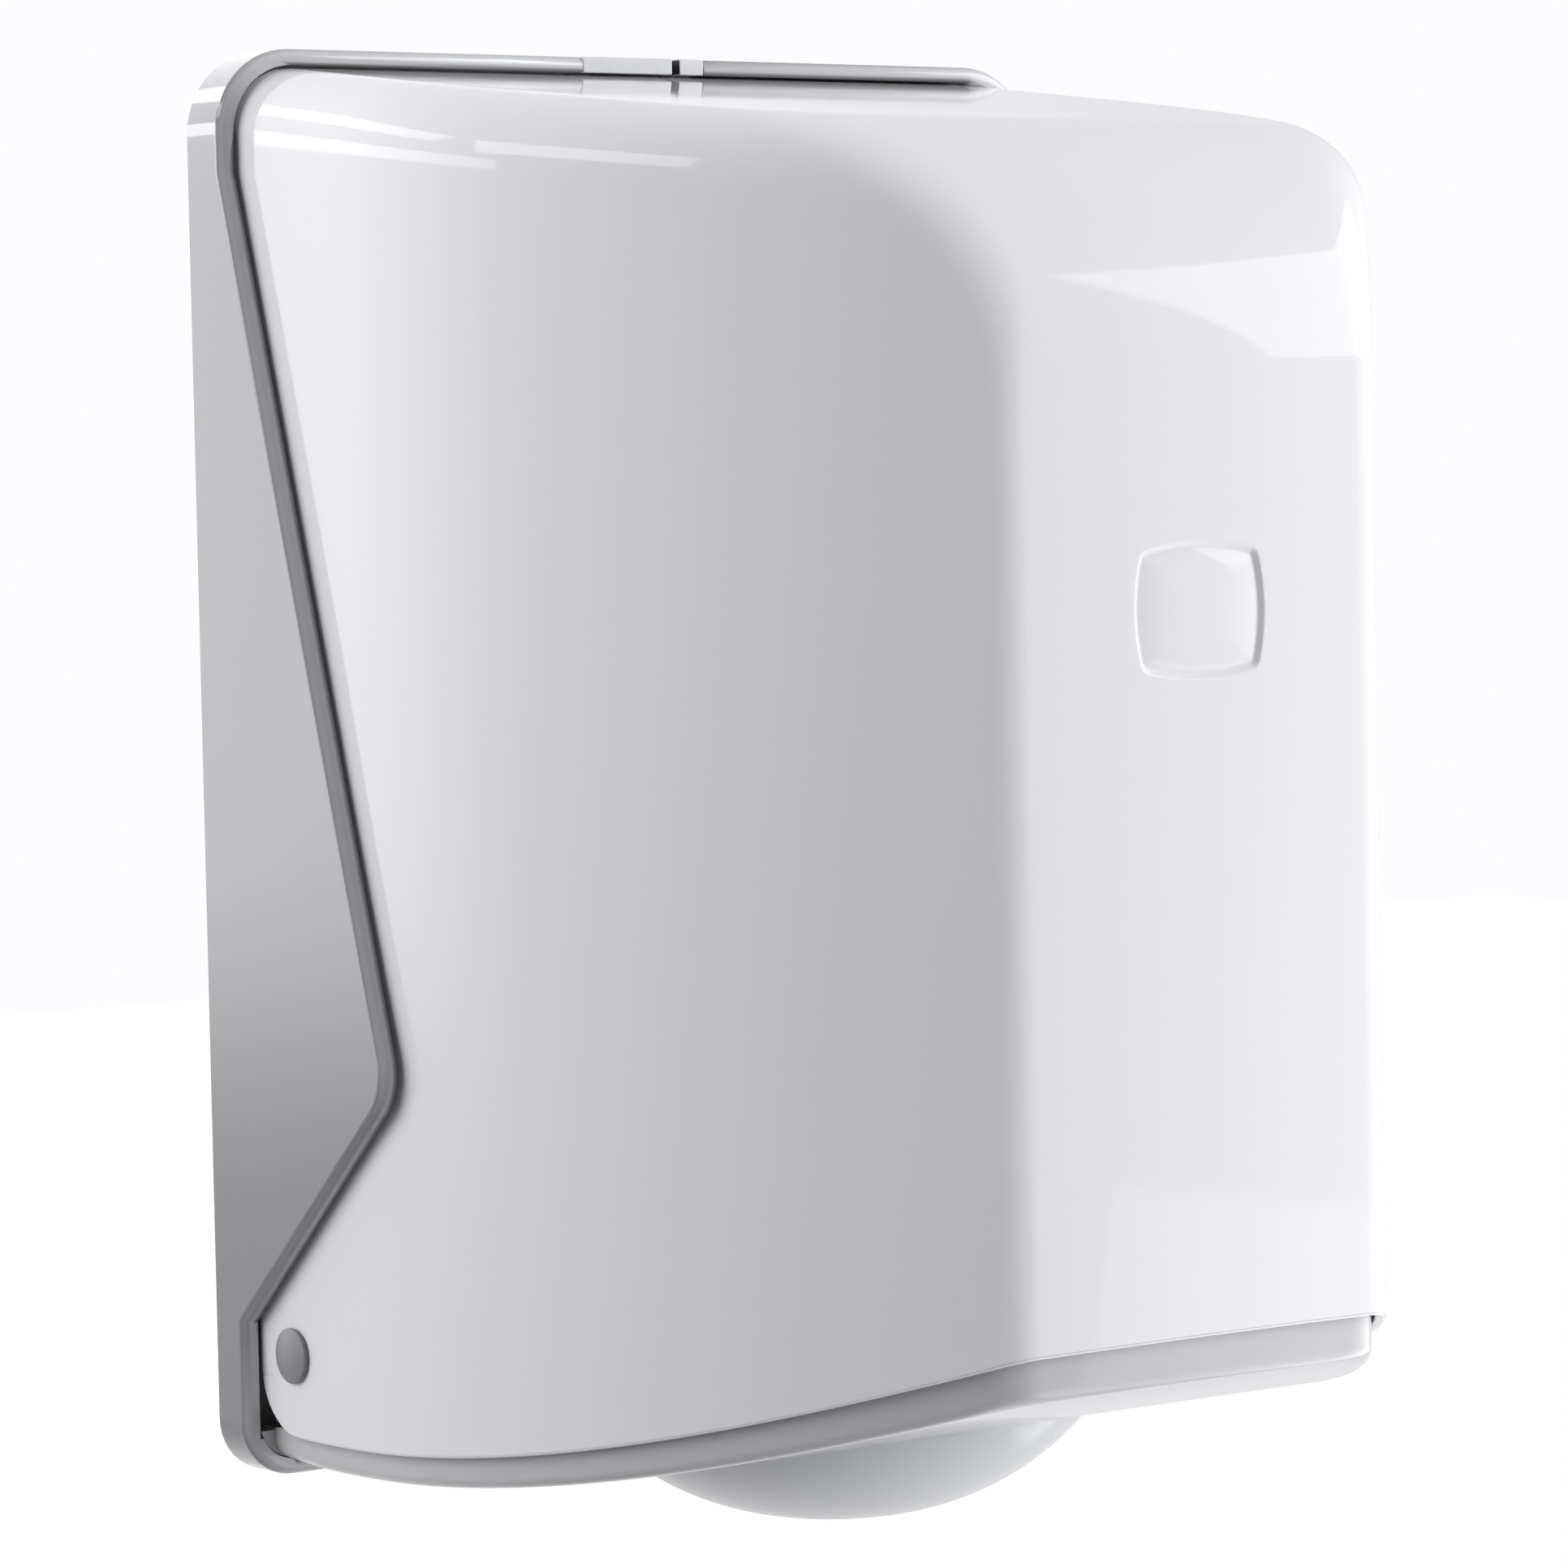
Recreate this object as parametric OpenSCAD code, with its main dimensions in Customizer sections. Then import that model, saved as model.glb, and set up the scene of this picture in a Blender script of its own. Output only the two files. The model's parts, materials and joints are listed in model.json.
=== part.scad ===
// Wall-mounted centrefeed roll dispenser.
// A grey back shell carries a base tray with an outlet bowl. A white front cover hinges on two pins
// at the bottom and is held shut by a sprung bolt behind a clear key window at the top.
// Heights are taken up from the foot of the back shell, depths out from the wall, and the whole is
// then set down so that the origin is the centre of the wall screw pattern, on the wall.
// X is to the right seen from the front, -Y is the front, +Z is up. Millimetres and degrees.

/* [Back shell] */
// Width of the back shell
shell_w = 250; // [240:1:270]
// Height of the back shell
shell_h = 347.5; // [340:0.5:365]
// Radius of the upper corners of the back shell
shell_corner = 21; // [18:0.5:24]
// Radius of the lower corners of the back shell
foot_corner = 14; // [12:0.5:20]
// Thickness of the back panel
back_t = 3; // [2.5:0.1:3.5]
// Thickness of the rim and of the cheeks
rim_t = 4; // [3.2:0.1:4.5]
// How far the rim stands out from the wall at the top
rim_depth = 15; // [14:0.5:17]
// Height at which the cheeks start to widen
cheek_top = 317.5; // [300:0.5:320]
// How far the knee of a cheek stands out from the wall
knee_depth = 80; // [65:0.5:88]
// Height of the knee
knee_height = 99.5; // [85:0.5:115]
// Radius on the knee
knee_r = 14; // [8:0.5:18]
// Height at which the slope below the knee ends
foot_height = 38.5; // [37:0.5:44]
// How far the foot of a cheek stands out from the wall
foot_depth = 12.5; // [11:0.5:13.5]
// Thickness of the stiffening ribs on the back panel
rib_t = 2; // [1.5:0.1:2.5]
// How far the ribs stand out of the back panel
rib_out = 2.5; // [1.5:0.1:3]
// Sideways distance between the two inner ribs
rib_inner_span = 76; // [60:1:90]
// Sideways distance between the two outer ribs
rib_outer_span = 204; // [180:1:210]

/* [Wall fixing] */
// Distance between the wall screws, sideways
screw_span_x = 140; // [100:1:160]
// Distance between the wall screws, upwards
screw_span_z = 200; // [150:1:210]
// Height of the middle of the wall screw pattern
screw_mid = 185.5; // [175:0.5:195]
// Diameter of a wall screw hole
screw_hole_d = 6; // [4:0.5:7]
// Diameter of the stiffened pad round a wall screw hole
screw_pad_d = 20; // [16:1:24]
// How far the pad stands out of the back panel
screw_pad_t = 2; // [1:0.5:3]

/* [Front cover] */
// Wall thickness of the cover
cover_wall = 2.5; // [2.2:0.1:3]
// Depth of the front creases from the wall
front_depth = 227.5; // [220:0.5:240]
// Distance between the two front creases
crease_span = 104; // [90:1:120]
// How far the front bows out between the creases
front_crown = 3.5; // [1:0.5:6]
// Depth at which the sides start to curve in
side_straight = 60; // [45:1:75]
// Slope of the top towards the front
top_slope = 6.5; // [4:0.5:8]
// Radius of the roll from the top into the front
roll_r = 58; // [45:1:75]
// Radius along the side edges of the top
top_fillet = 17; // [14:0.5:22]
// Length over which the crease is rounded, below the roll
crease_soft = 5.5; // [4:0.5:14]
// Length over which the crease is rounded, on the top
crease_soft_top = 24; // [18:1:40]
// Height of the lower edge by the hinge
edge_back = 11.5; // [10:0.5:12.5]
// Height of the lower edge at the front
edge_front = 45.1; // [40:0.1:50]
// Depth from which the lower edge sweeps up
edge_start = 34; // [28:1:45]
// Radius of the lower back corner
ear_r = 17; // [15:0.5:18]
// How far the ear of the cover lies behind the face of the cheek's foot
ear_set = 0.5; // [0.3:0.1:1]
// Gap between the cover and the rim at the sides
side_gap = 1.4; // [1.2:0.1:1.8]
// Gap between the cover and the rim at the top
top_gap = 1.7; // [1.4:0.1:2]
// How far the back edge of the cover tucks in behind the face of the rim
tuck = 4; // [2:0.5:5]
// Width of the bare badge recess at its middle
badge_w = 38; // [30:1:44]
// Height of the bare badge recess at its middle
badge_h = 31; // [26:1:36]
// Depth of the bare badge recess
badge_depth = 1.6; // [1:0.1:1.8]
// Height of the middle of the badge recess
badge_mid = 210.2; // [180:0.1:225]
// Corner radius of the badge recess
badge_corner = 4; // [2:0.5:6]
// How far the sides of the badge recess bow out
badge_bow = 2; // [1:0.1:3]

/* [Hinge] */
// Depth of the hinge axis from the wall
pin_depth = 27; // [26:0.5:29]
// Height of the hinge axis
pin_height = 31.8; // [31:0.1:33]
// Diameter of a hinge pin
pin_d = 7; // [6:0.5:8]
// Diameter of the head of a hinge pin
pin_head_d = 13.5; // [12:0.5:15]
// Thickness of the head of a hinge pin
pin_head_t = 2; // [1.5:0.1:2.5]
// Height of the dome on the head of a hinge pin
pin_dome = 1; // [0.5:0.1:1.4]
// Running clearance of a pin, on the radius
pin_fit = 0.05; // [0.03:0.01:0.08]
// Free play along the pin between the parts of the hinge
hinge_play = 0.3; // [0.2:0.1:0.4]
// Outside diameter of the boss round the pin, in the cover
ear_boss_d = 17; // [15:0.5:19]
// How far that boss stands in from the cover wall
ear_boss_t = 2; // [1:0.5:3]
// Width of a hinge lug on the tray
lug_t = 8; // [6:0.5:10]
// Radius of a hinge lug round the pin
lug_r = 9; // [8:0.5:10]
// Thickness of a retaining clip
clip_t = 1; // [0.8:0.1:1.2]
// Outside diameter of a retaining clip
clip_d = 12; // [11:0.5:13]

/* [Base tray] */
// Height of the tray band that shows below the cover, by the hinge
band_back = 7.4; // [6:0.2:8]
// Height of the tray band that shows below the cover, at the front
band_front = 8.8; // [8:0.2:14]
// Wall thickness of the tray
tray_wall = 3; // [2.5:0.1:3.5]
// Gap between the tray and the inside of the cover
tray_gap = 1; // [0.8:0.1:1.5]
// How far the tray wall reaches up inside the cover
tray_lap = 6; // [4:0.5:8]
// Length over which the front corners of the tray are rounded
tray_soft = 12; // [8:1:24]
// Radius along the lower edge of the tray
tray_round = 8; // [6:0.5:9]
// Gap between the back wall of the tray and the back panel
tray_stand = 11; // [10:0.5:13]
// Height of the top of the tray's fixing flange
flange_top = 43.5; // [42:0.5:46]
// Sideways distance between the outer flange screws
flange_span = 160; // [140:1:180]
// Sideways distance between the inner flange screws
flange_inner_span = 60; // [40:1:80]

/* [Roll platform] */
// Height of the top of the platform that the roll stands on
platform_top = 52.5; // [51:0.5:60]
// Thickness of the platform
platform_t = 3; // [2.5:0.1:4]
// Gap between the edge of the platform and the inside of the cover
platform_gap = 9; // [6:0.5:12]
// Depth of the middle of the roll from the wall
roll_mid = 107; // [105:0.5:110]
// Height of the lip round the platform
platform_lip = 3; // [2:0.5:5]
// Thickness of the lip round the platform
platform_lip_t = 2.5; // [2:0.1:3]
// Distance from the edge of the platform hole to the bowl's wall
platform_ledge = 8; // [6:0.5:10]
// Length of the screws that hold the platform
platform_screw_l = 10; // [8:0.5:12]
// Turn from the side to the back posts of the platform, round the roll's axis
post_turn_back = 15; // [10:1:20]
// Turn from the side to the front posts of the platform, round the roll's axis
post_turn_front = 45; // [40:1:50]

/* [Outlet bowl] */
// Depth of the outlet axis from the wall
bowl_mid = 85; // [83:0.5:90]
// Height of the underside of the bowl
bowl_bottom = -12.5; // [-15:0.5:-9]
// Radius of the flat bottom of the bowl
bowl_flat_r = 8; // [6:0.5:10]
// Distance from the edge of the platform in to the wall of the bowl
bowl_inset = 38.4; // [36:0.1:42]
// Radius of the turn from the bottom into the side of the bowl
bowl_turn_r = 71; // [65:1:80]
// Wall thickness of the bowl
bowl_wall = 2.5; // [2.2:0.1:3]
// Height of the seat that carries the bowl's flange
bowl_seat = 28.5; // [27:0.5:32]
// Width of the bowl's flange
bowl_flange = 8; // [7.5:0.5:9]
// Gap between the bowl and the tray
bowl_gap = 0.3; // [0.2:0.1:0.5]
// Height of the level nozzle seat above the underside of the bowl
nozzle_seat = 5.2; // [5:0.1:6]
// Diameter of the hole in the soft nozzle disc
nozzle_d = 18; // [14:1:24]
// Diameter of the passage in the bottom of the bowl
outlet_d = 38; // [32:1:40]
// Thickness of the soft nozzle disc
nozzle_t = 1.6; // [1.2:0.1:2]
// Thickness of the ring that clamps the nozzle disc
nozzle_ring_t = 2.5; // [2:0.1:3.5]
// Number of slits in the nozzle disc
nozzle_slits = 8; // [6:1:12]
// Width of a slit in the nozzle disc
nozzle_slit_w = 0.8; // [0.5:0.1:1]
// Width of the rim by which the nozzle disc is clamped
nozzle_rim = 6.5; // [6:0.1:7]
// Shank diameter of the nozzle screws
nozzle_bolt_d = 2.2; // [2:0.1:2.5]
// How deep the nozzle screws bite into the bowl
nozzle_bite = 2.5; // [2:0.1:3]
// Length of the screws that hold the bowl
bowl_screw_l = 9; // [7:0.5:10]

/* [Lock] */
// Width of the clear key window
window_w = 37; // [34:1:44]
// Width of the key slit
slit_w = 2.3; // [1.8:0.1:3]
// Sideways place of the key slit
slit_x = 10; // [9.5:0.1:10.5]
// Width of the lock housing
housing_w = 50; // [48:1:60]
// Thickness of the catch on the cover
catch_t = 3; // [2.5:0.1:3.5]
// Width of the catch
catch_w = 14; // [12:1:15]
// How far the back of the catch lies behind the face of the rim
catch_inset = 1.7; // [1.4:0.1:2]
// How far the catch reaches down from the underside of the rim
catch_drop = 9.5; // [8.5:0.1:10.5]
// Gap between the catch and the parts of the bolt beside it
catch_play = 1; // [0.8:0.1:1.2]
// Thickness of the nose of the bolt
nose_t = 3.5; // [3:0.1:4]
// Width of the nose of the bolt
nose_w = 16; // [15:0.5:18]
// Width of the latch bolt
latch_w = 24; // [23.5:0.5:25]
// Height of the body of the latch bolt
latch_h = 13.5; // [12:0.5:15]
// Gap between the back of the bolt and the back panel
latch_stand = 2.3; // [2:0.1:2.5]
// Clearance of the sliding bolt in its housing
slide_fit = 0.2; // [0.1:0.05:0.3]
// Height of the room for the latch spring
spring_room = 10; // [9:0.5:12]
// Thickness of the housing's floor under the spring
housing_floor = 6; // [4:0.5:8]
// Length of the bosses that carry the lock housing
lock_boss_t = 4; // [3:0.5:5]
// How far the latch bolt travels down
latch_travel = 4.5; // [4:0.1:5]
// How far the nose of the bolt reaches up in front of the catch
latch_bite = 3.5; // [2.5:0.1:3.5]
// Wire diameter of the latch spring
spring_wire = 0.7; // [0.5:0.1:0.8]
// Outside diameter of the latch spring
spring_d = 5.5; // [5:0.1:6]
// Number of turns of the latch spring
spring_turns = 6; // [4:1:7]

/* [Fasteners] */
// Shank diameter of the assembly screws
bolt_d = 3.5; // [3:0.1:4]
// Head diameter of the assembly screws
bolt_head_d = 7; // [6:0.1:8]
// Head height of the assembly screws
bolt_head_t = 2.2; // [1.8:0.1:2.6]
// Clearance round a screw shank, on the radius
bolt_fit = 0.1; // [0.05:0.05:0.2]
// Wall of a screw boss
boss_wall = 2.75; // [2.25:0.05:3]

/* [Hidden] */
$fn = 64;
far = 600;
over = 1;

cover_half = shell_w / 2 - rim_t - side_gap;
rim_under = shell_h - rim_t;
crease_half = crease_span / 2;
side_run = front_depth - side_straight;
side_pull = cover_half - crease_half;
side_r = (side_pull * side_pull + side_run * side_run) / (2 * side_pull);
top_rise = rim_under - top_gap + rim_depth * tan(top_slope);
roll_q = front_depth - roll_r;
roll_z = top_rise - roll_q * tan(top_slope) - roll_r / cos(top_slope);

edge_run = front_depth - edge_start;
edge_lift = edge_front - edge_back;
edge_arc = (edge_run * edge_run + edge_lift * edge_lift) / (2 * edge_lift);
under_back = edge_back - band_back;
under_lift = edge_front - band_front - under_back;
under_arc = (edge_run * edge_run + under_lift * under_lift) / (2 * under_lift);

ear_back = foot_depth - ear_set;
ear_q = ear_back + ear_r;
ear_z = edge_back + ear_r;

tray_inset = cover_wall + tray_gap;
tray_back = foot_depth + ear_set;
lug_out = cover_half - cover_wall - ear_boss_t - hinge_play;
lug_in = lug_out - lug_t;
clip_in = lug_in - hinge_play - clip_t;
pin_end = clip_in - 2 * clip_t;
groove_d = pin_d - 2;
flange_front = tray_stand + tray_wall;
boss_d = bolt_d + 2 * boss_wall;
flange_screws_x = [-flange_span / 2, -flange_inner_span / 2, flange_inner_span / 2, flange_span / 2];
flange_screw_z = flange_top - boss_d / 2 - over;

platform_room = min(half_at(roll_mid, cover_wall), front_depth - cover_wall - roll_mid);
platform_r = platform_room - platform_gap;
post_r = platform_r - platform_lip_t - boss_d;
post_spots = [for (turn = [-post_turn_back, post_turn_front]) for (side = [-1, 1])
    [side * post_r * cos(turn), roll_mid + post_r * sin(turn)]];
bowl_r = platform_r - bowl_inset;
platform_hole_r = bowl_r - platform_ledge;
platform_under = platform_top - platform_t;
platform_back = back_t + 2 * over;

flange_r = bowl_r + bowl_flange;
bowl_screw_r = bowl_r + bowl_flange / 2;
bowl_bolts = 4;
bowl_floor = bowl_bottom + nozzle_seat;
nozzle_r = outlet_d / 2 + nozzle_rim;
nozzle_top = bowl_floor + nozzle_t;
nozzle_bolt_r = outlet_d / 2 + nozzle_rim / 2;
nozzle_bolts = 3;

catch_back = rim_depth - catch_inset;
catch_front = catch_back + catch_t;
catch_low = rim_under - catch_drop;
nose_top = catch_low + latch_bite;
nose_back = catch_front + catch_play;
nose_half = nose_w / 2;
bolt_half = latch_w / 2;
bolt_back = back_t + latch_stand;
bolt_front = catch_back - catch_play;
bolt_top = catch_low + catch_play;
bolt_low = bolt_top - latch_h;
arm_top = catch_low - nose_t + over;
housing_front = rim_depth;
housing_top = bolt_top;
spring_foot = bolt_low - spring_room;
housing_low = spring_foot - housing_floor;
rib_low = platform_top + platform_lip + rib_t;
rib_high = housing_low - rib_t;
tongue_front = bolt_front - nose_t;
housing_bolt_x = (housing_w / 2 + bolt_half) / 2;
housing_bolt_z = (housing_low + housing_top) / 2;

// Height of an arc that leaves the level at the given depth
function swept(q, arc) = arc - sqrt(arc * arc - (q - edge_start) * (q - edge_start));
function edge_at(q) = edge_back + swept(q, edge_arc);
function under_at(q) = under_back + swept(q, under_arc);

// Half width of the cover at a depth, a given distance inside its outer face
function half_at(q, inset) = q < side_straight
    ? cover_half - inset
    : cover_half - side_r + sqrt(pow(side_r - inset, 2) - pow(q - side_straight, 2));
function top_at(q, inset) = top_rise - q * tan(top_slope) - inset / cos(top_slope);
function bezier(a, b, c, t) = a * (1 - t) * (1 - t) + b * 2 * t * (1 - t) + c * t * t;

// Right half of a level section, from the back edge round the crease to the middle of the front.
// narrow draws the sides in, soft is the length over which the crease is rounded.
function half_section(from, depth, inset, narrow, soft) =
    let (
        steps_side = 16, steps_soft = 6, steps_front = 5,
        corner = half_at(depth, inset) - narrow,
        turn = depth - soft * 0.75,
        land = corner - soft,
        bow = function (x) depth + front_crown * (1 - pow(x / corner, 2))
    )
    concat(
        [for (i = [0 : steps_side]) let (q = from + (turn - from) * i / steps_side)
            [half_at(q, inset) - narrow, q]],
        [for (i = [1 : steps_soft])
            bezier([half_at(turn, inset) - narrow, turn], [corner, depth], [land, bow(land)], i / steps_soft)],
        [for (i = [1 : steps_front]) let (x = land * (1 - i / steps_front)) [x, bow(x)]]
    );

// Closed solid through a stack of half sections, each mirrored to the left
module loft(levels) {
    half = len(levels[0]);
    ring = 2 * half - 1;
    rows = len(levels);
    points = [for (level = levels) for (i = [0 : ring - 1])
        let (p = i < half ? level[i] : level[ring - 1 - i], side = i < half ? 1 : -1)
            [side * p[0], -p[1], p[2]]];
    function at(row, i) = row * ring + i;
    walls = [for (row = [0 : rows - 2]) for (i = [0 : ring - 1]) let (j = (i + 1) % ring)
        each [[at(row, i), at(row, j), at(row + 1, i)], [at(row, j), at(row + 1, j), at(row + 1, i)]]];
    caps = [for (i = [0 : half - 2]) let (k = ring - 1 - i, top = (rows - 1) * ring)
        each k - 1 > i + 1
            ? [[k, k - 1, i + 1, i], [top + i, top + i + 1, top + k - 1, top + k]]
            : [[k, i + 1, i], [top + i, top + i + 1, top + k]]];
    polyhedron(points, concat(walls, caps), convexity = 6);
}

// The cover's form, a given distance inside its outer face, open downwards past its lower edge
module cover_form(inset, from, low) {
    steps = 13;
    foot = [for (p = half_section(from, front_depth - inset, inset, 0, crease_soft)) [p[0], p[1], low]];
    fillet = top_fillet - inset;
    roll = [for (i = [0 : steps])
        let (
            turn = (90 - top_slope) * i / steps,
            depth = roll_q + (roll_r - inset) * cos(turn),
            drop = max(0, top_at(depth, inset) - roll_z - (roll_r - inset) * sin(turn)),
            narrow = drop < fillet ? fillet - sqrt(fillet * fillet - pow(fillet - drop, 2)) : 0,
            soft = crease_soft + (crease_soft_top - crease_soft) * i / steps
        )
        [for (p = half_section(from, depth, inset, narrow, soft)) [p[0], p[1], top_at(p[1], inset) - drop]]];
    loft(concat([foot], roll));
}

// The tray's form: levels that follow its underside, drawn in along the lower edge
module tray_form(inset, from, round, rise, top) {
    steps = 4;
    function level(draw, lift) =
        [for (p = half_section(from, front_depth - inset - draw, inset + draw, 0, tray_soft))
            [p[0], p[1], under_at(p[1]) + rise + lift]];
    lower = [for (i = [0 : steps]) let (a = 90 * i / steps)
        level(round * (1 - sin(a)), round * (1 - cos(a)))];
    upper = [for (p = half_section(from, front_depth - inset, inset, 0, tray_soft))
        [p[0], p[1], edge_at(p[1]) + top]];
    loft(concat(lower, [upper]));
}

// Helpers that set profiles and solids into place
module placed() translate([0, 0, -screw_mid]) children();
module from_wall(depth) rotate([90, 0, 0]) linear_extrude(depth) children();
module across(width) rotate([90, 0, -90]) linear_extrude(width, center = true) children();
module wall_rod(x, z, from, to, d) {
    translate([x, -from, z]) rotate([90, 0, 0]) cylinder(d = d, h = to - from);
}
module side_rod(from, to, d) {
    translate([from, -pin_depth, pin_height]) rotate([0, 90, 0]) cylinder(d = d, h = to - from);
}
module block(half, back, front, low, high) {
    translate([-half, -front, low]) cube([2 * half, front - back, high - low]);
}
module both_sides() {
    children();
    mirror([1, 0, 0]) children();
}
module screw(length, shank_d, head_d, head_t) {
    cylinder(d = head_d, h = head_t);
    translate([0, 0, -length]) cylinder(d = shank_d, h = length);
}
module wall_screw_spots() {
    for (x = [-1, 1])
        for (z = [-1, 1])
            translate([x * screw_span_x / 2, 0, screw_mid + z * screw_span_z / 2]) children();
}

// Outline of the back shell seen from the front, drawn in by edge
module shell_outline(edge) {
    half = shell_w / 2;
    translate([edge - half, foot_corner]) square([2 * (half - edge), shell_h - foot_corner - shell_corner]);
    for (corner = [[foot_corner, edge, foot_corner], [shell_corner, shell_h - shell_corner, shell_h - edge]]) {
        r = corner[0];
        translate([r - half, corner[1]]) square([2 * (half - r), corner[2] - corner[1]]);
    }
    for (side = [-1, 1]) {
        translate([side * (half - foot_corner), foot_corner]) circle(foot_corner - edge);
        translate([side * (half - shell_corner), shell_h - shell_corner]) circle(shell_corner - edge);
    }
}

// Side view of the cheeks, depth to the right and height up, with the knee rounded
module cheek_area() {
    knee = [knee_depth, knee_height];
    up = [rim_depth, cheek_top] - knee;
    down = [foot_depth, foot_height] - knee;
    to_up = up / norm(up);
    to_down = down / norm(down);
    half_angle = acos(to_up * to_down) / 2;
    reach = knee_r / tan(half_angle);
    middle = knee + (to_up + to_down) / norm(to_up + to_down) * knee_r / sin(half_angle);
    polygon([[0, 0], [foot_depth, 0], [foot_depth, foot_height], knee + to_down * reach, knee + to_up * reach,
        [rim_depth, cheek_top], [rim_depth, shell_h], [0, shell_h]]);
    translate(middle) circle(knee_r);
}

// Side view of the cover: above its lower edge, round at the hinge, and in front of the cheeks
module cover_side() {
    difference() {
        intersection() {
            translate([edge_start, edge_back + edge_arc]) circle(edge_arc, $fn = 360);
            union() {
                translate([ear_q, 0]) square([far, shell_h]);
                translate([0, ear_z]) square([far, shell_h]);
                translate([ear_q, ear_z]) circle(ear_r);
            }
        }
        difference() {
            translate([-tuck, 0]) cheek_area();
            square([knee_depth, ear_z + ear_r]);
        }
        square([ear_back, ear_z + ear_r]);
    }
}

// Bare pillow-shaped badge recess, seen from the front
module badge_outline() {
    w = badge_w - 2 * badge_corner;
    h = badge_h - 2 * badge_corner;
    side_bow = (pow(h / 2, 2) + badge_bow * badge_bow) / (2 * badge_bow);
    end_bow = (pow(w / 2, 2) + badge_bow * badge_bow) / (2 * badge_bow);
    offset(badge_corner)
        intersection() {
            translate([w / 2 - side_bow, 0]) circle(side_bow, $fn = 180);
            translate([side_bow - w / 2, 0]) circle(side_bow, $fn = 180);
            translate([0, h / 2 - end_bow]) circle(end_bow, $fn = 180);
            translate([0, end_bow - h / 2]) circle(end_bow, $fn = 180);
        }
}

// Half profile of the bowl, radius to the right and height up
module bowl_outline(grow) {
    lean = bowl_bottom + bowl_turn_r;
    intersection() {
        translate([0, bowl_bottom - grow]) square([bowl_r + grow, far]);
        union() {
            translate([bowl_flat_r, lean]) circle(bowl_turn_r + grow, $fn = 180);
            translate([0, bowl_bottom - grow]) square([bowl_flat_r, far]);
            translate([0, lean]) square([bowl_r + grow, far]);
        }
    }
}
module at_bowl() translate([0, -bowl_mid, 0]) children();
module bowl_ring(count, radius, turn) {
    for (i = [0 : count - 1])
        rotate(turn + i * 360 / count) translate([radius, 0, 0]) children();
}

module back_shell() {
    color("#9a9da0") placed() difference() {
        union() {
            from_wall(back_t) shell_outline(0);
            intersection() {
                from_wall(knee_depth) difference() {
                    shell_outline(0);
                    shell_outline(rim_t);
                }
                across(shell_w + 2 * over) cheek_area();
            }
            wall_screw_spots() rotate([90, 0, 0]) cylinder(d = screw_pad_d, h = back_t + screw_pad_t);
            // upright ribs, and one level rib across them
            for (x = [-rib_outer_span, -rib_inner_span, rib_inner_span, rib_outer_span])
                translate([x / 2, 0, 0]) block(rib_t / 2, 0, back_t + rib_out, rib_low, rib_high);
            block(rib_outer_span / 2, 0, back_t + rib_out, screw_mid - rib_t / 2, screw_mid + rib_t / 2);
            for (x = flange_screws_x)
                wall_rod(x, flange_screw_z, 0, tray_stand, boss_d);
            for (x = [-1, 1])
                wall_rod(x * housing_bolt_x, housing_bolt_z, 0, back_t + lock_boss_t, boss_d);
        }
        wall_screw_spots() rotate([90, 0, 0]) translate([0, 0, -over])
            cylinder(d = screw_hole_d, h = back_t + screw_pad_t + 2 * over);
        for (x = flange_screws_x)
            wall_rod(x, flange_screw_z, over, tray_stand + over, bolt_d + 2 * bolt_fit);
        for (x = [-1, 1])
            wall_rod(x * housing_bolt_x, housing_bolt_z, over, far, bolt_d + 2 * bolt_fit);
        // notch for the key window
        block(window_w / 2 + slide_fit, back_t, rim_depth + over, rim_under - over, shell_h + over);
        // room for the lower back corners of the cover to turn
        intersection() {
            both_sides() side_rod(cover_half - cover_wall - side_gap, cover_half + side_gap,
                2 * (pin_height - rim_t - side_gap));
            block(far, back_t, far, 0, far);
        }
    }
}

module base_tray() {
    color("#a6a9ac") placed() difference() {
        union() {
            difference() {
                tray_form(tray_inset, tray_back, tray_round, 0, tray_lap);
                tray_form(tray_inset + tray_wall, tray_back + tray_wall, tray_wall, tray_wall, tray_lap + far);
            }
            // fixing flange against the back shell
            block(flange_span / 2 + boss_d, tray_stand, flange_front, under_at(flange_front) + tray_wall, flange_top);
            // hinge lugs
            both_sides() translate([(lug_in + lug_out) / 2, 0, 0]) across(lug_t) {
                translate([pin_depth, pin_height]) circle(lug_r);
                translate([pin_depth - lug_r, under_at(pin_depth) + tray_wall / 2])
                    square([2 * lug_r, pin_height - under_at(pin_depth) - tray_wall / 2]);
            }
            // posts for the platform
            for (spot = post_spots)
                translate([spot[0], -spot[1], under_at(spot[1]) + tray_wall / 2])
                    cylinder(d = boss_d, h = platform_under - under_at(spot[1]) - tray_wall / 2);
            // collar that carries the bowl
            at_bowl() intersection() {
                translate([0, 0, under_back]) cylinder(r = flange_r, h = bowl_seat - under_back);
                translate([0, bowl_mid, 0]) tray_form(tray_inset, tray_back, tray_round, 0, far);
            }
        }
        at_bowl() {
            rotate_extrude($fn = 180) bowl_outline(bowl_gap);
            bowl_ring(bowl_bolts, bowl_screw_r, 45) translate([0, 0, bowl_seat - bowl_screw_l])
                cylinder(d = bolt_d + 2 * bolt_fit, h = far);
        }
        for (x = flange_screws_x)
            wall_rod(x, flange_screw_z, tray_stand - over, flange_front + over, bolt_d + 2 * bolt_fit);
        for (spot = post_spots)
            translate([spot[0], -spot[1], platform_under - platform_screw_l])
                cylinder(d = bolt_d + 2 * bolt_fit, h = far);
        both_sides() side_rod(lug_in - over, lug_out + over, pin_d + 2 * pin_fit);
    }
}

module tray_screws() {
    color("silver") placed() for (x = flange_screws_x)
        translate([x, -flange_front, flange_screw_z]) rotate([90, 0, 0])
            screw(flange_front - 2 * over, bolt_d, bolt_head_d, bolt_head_t);
}

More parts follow.
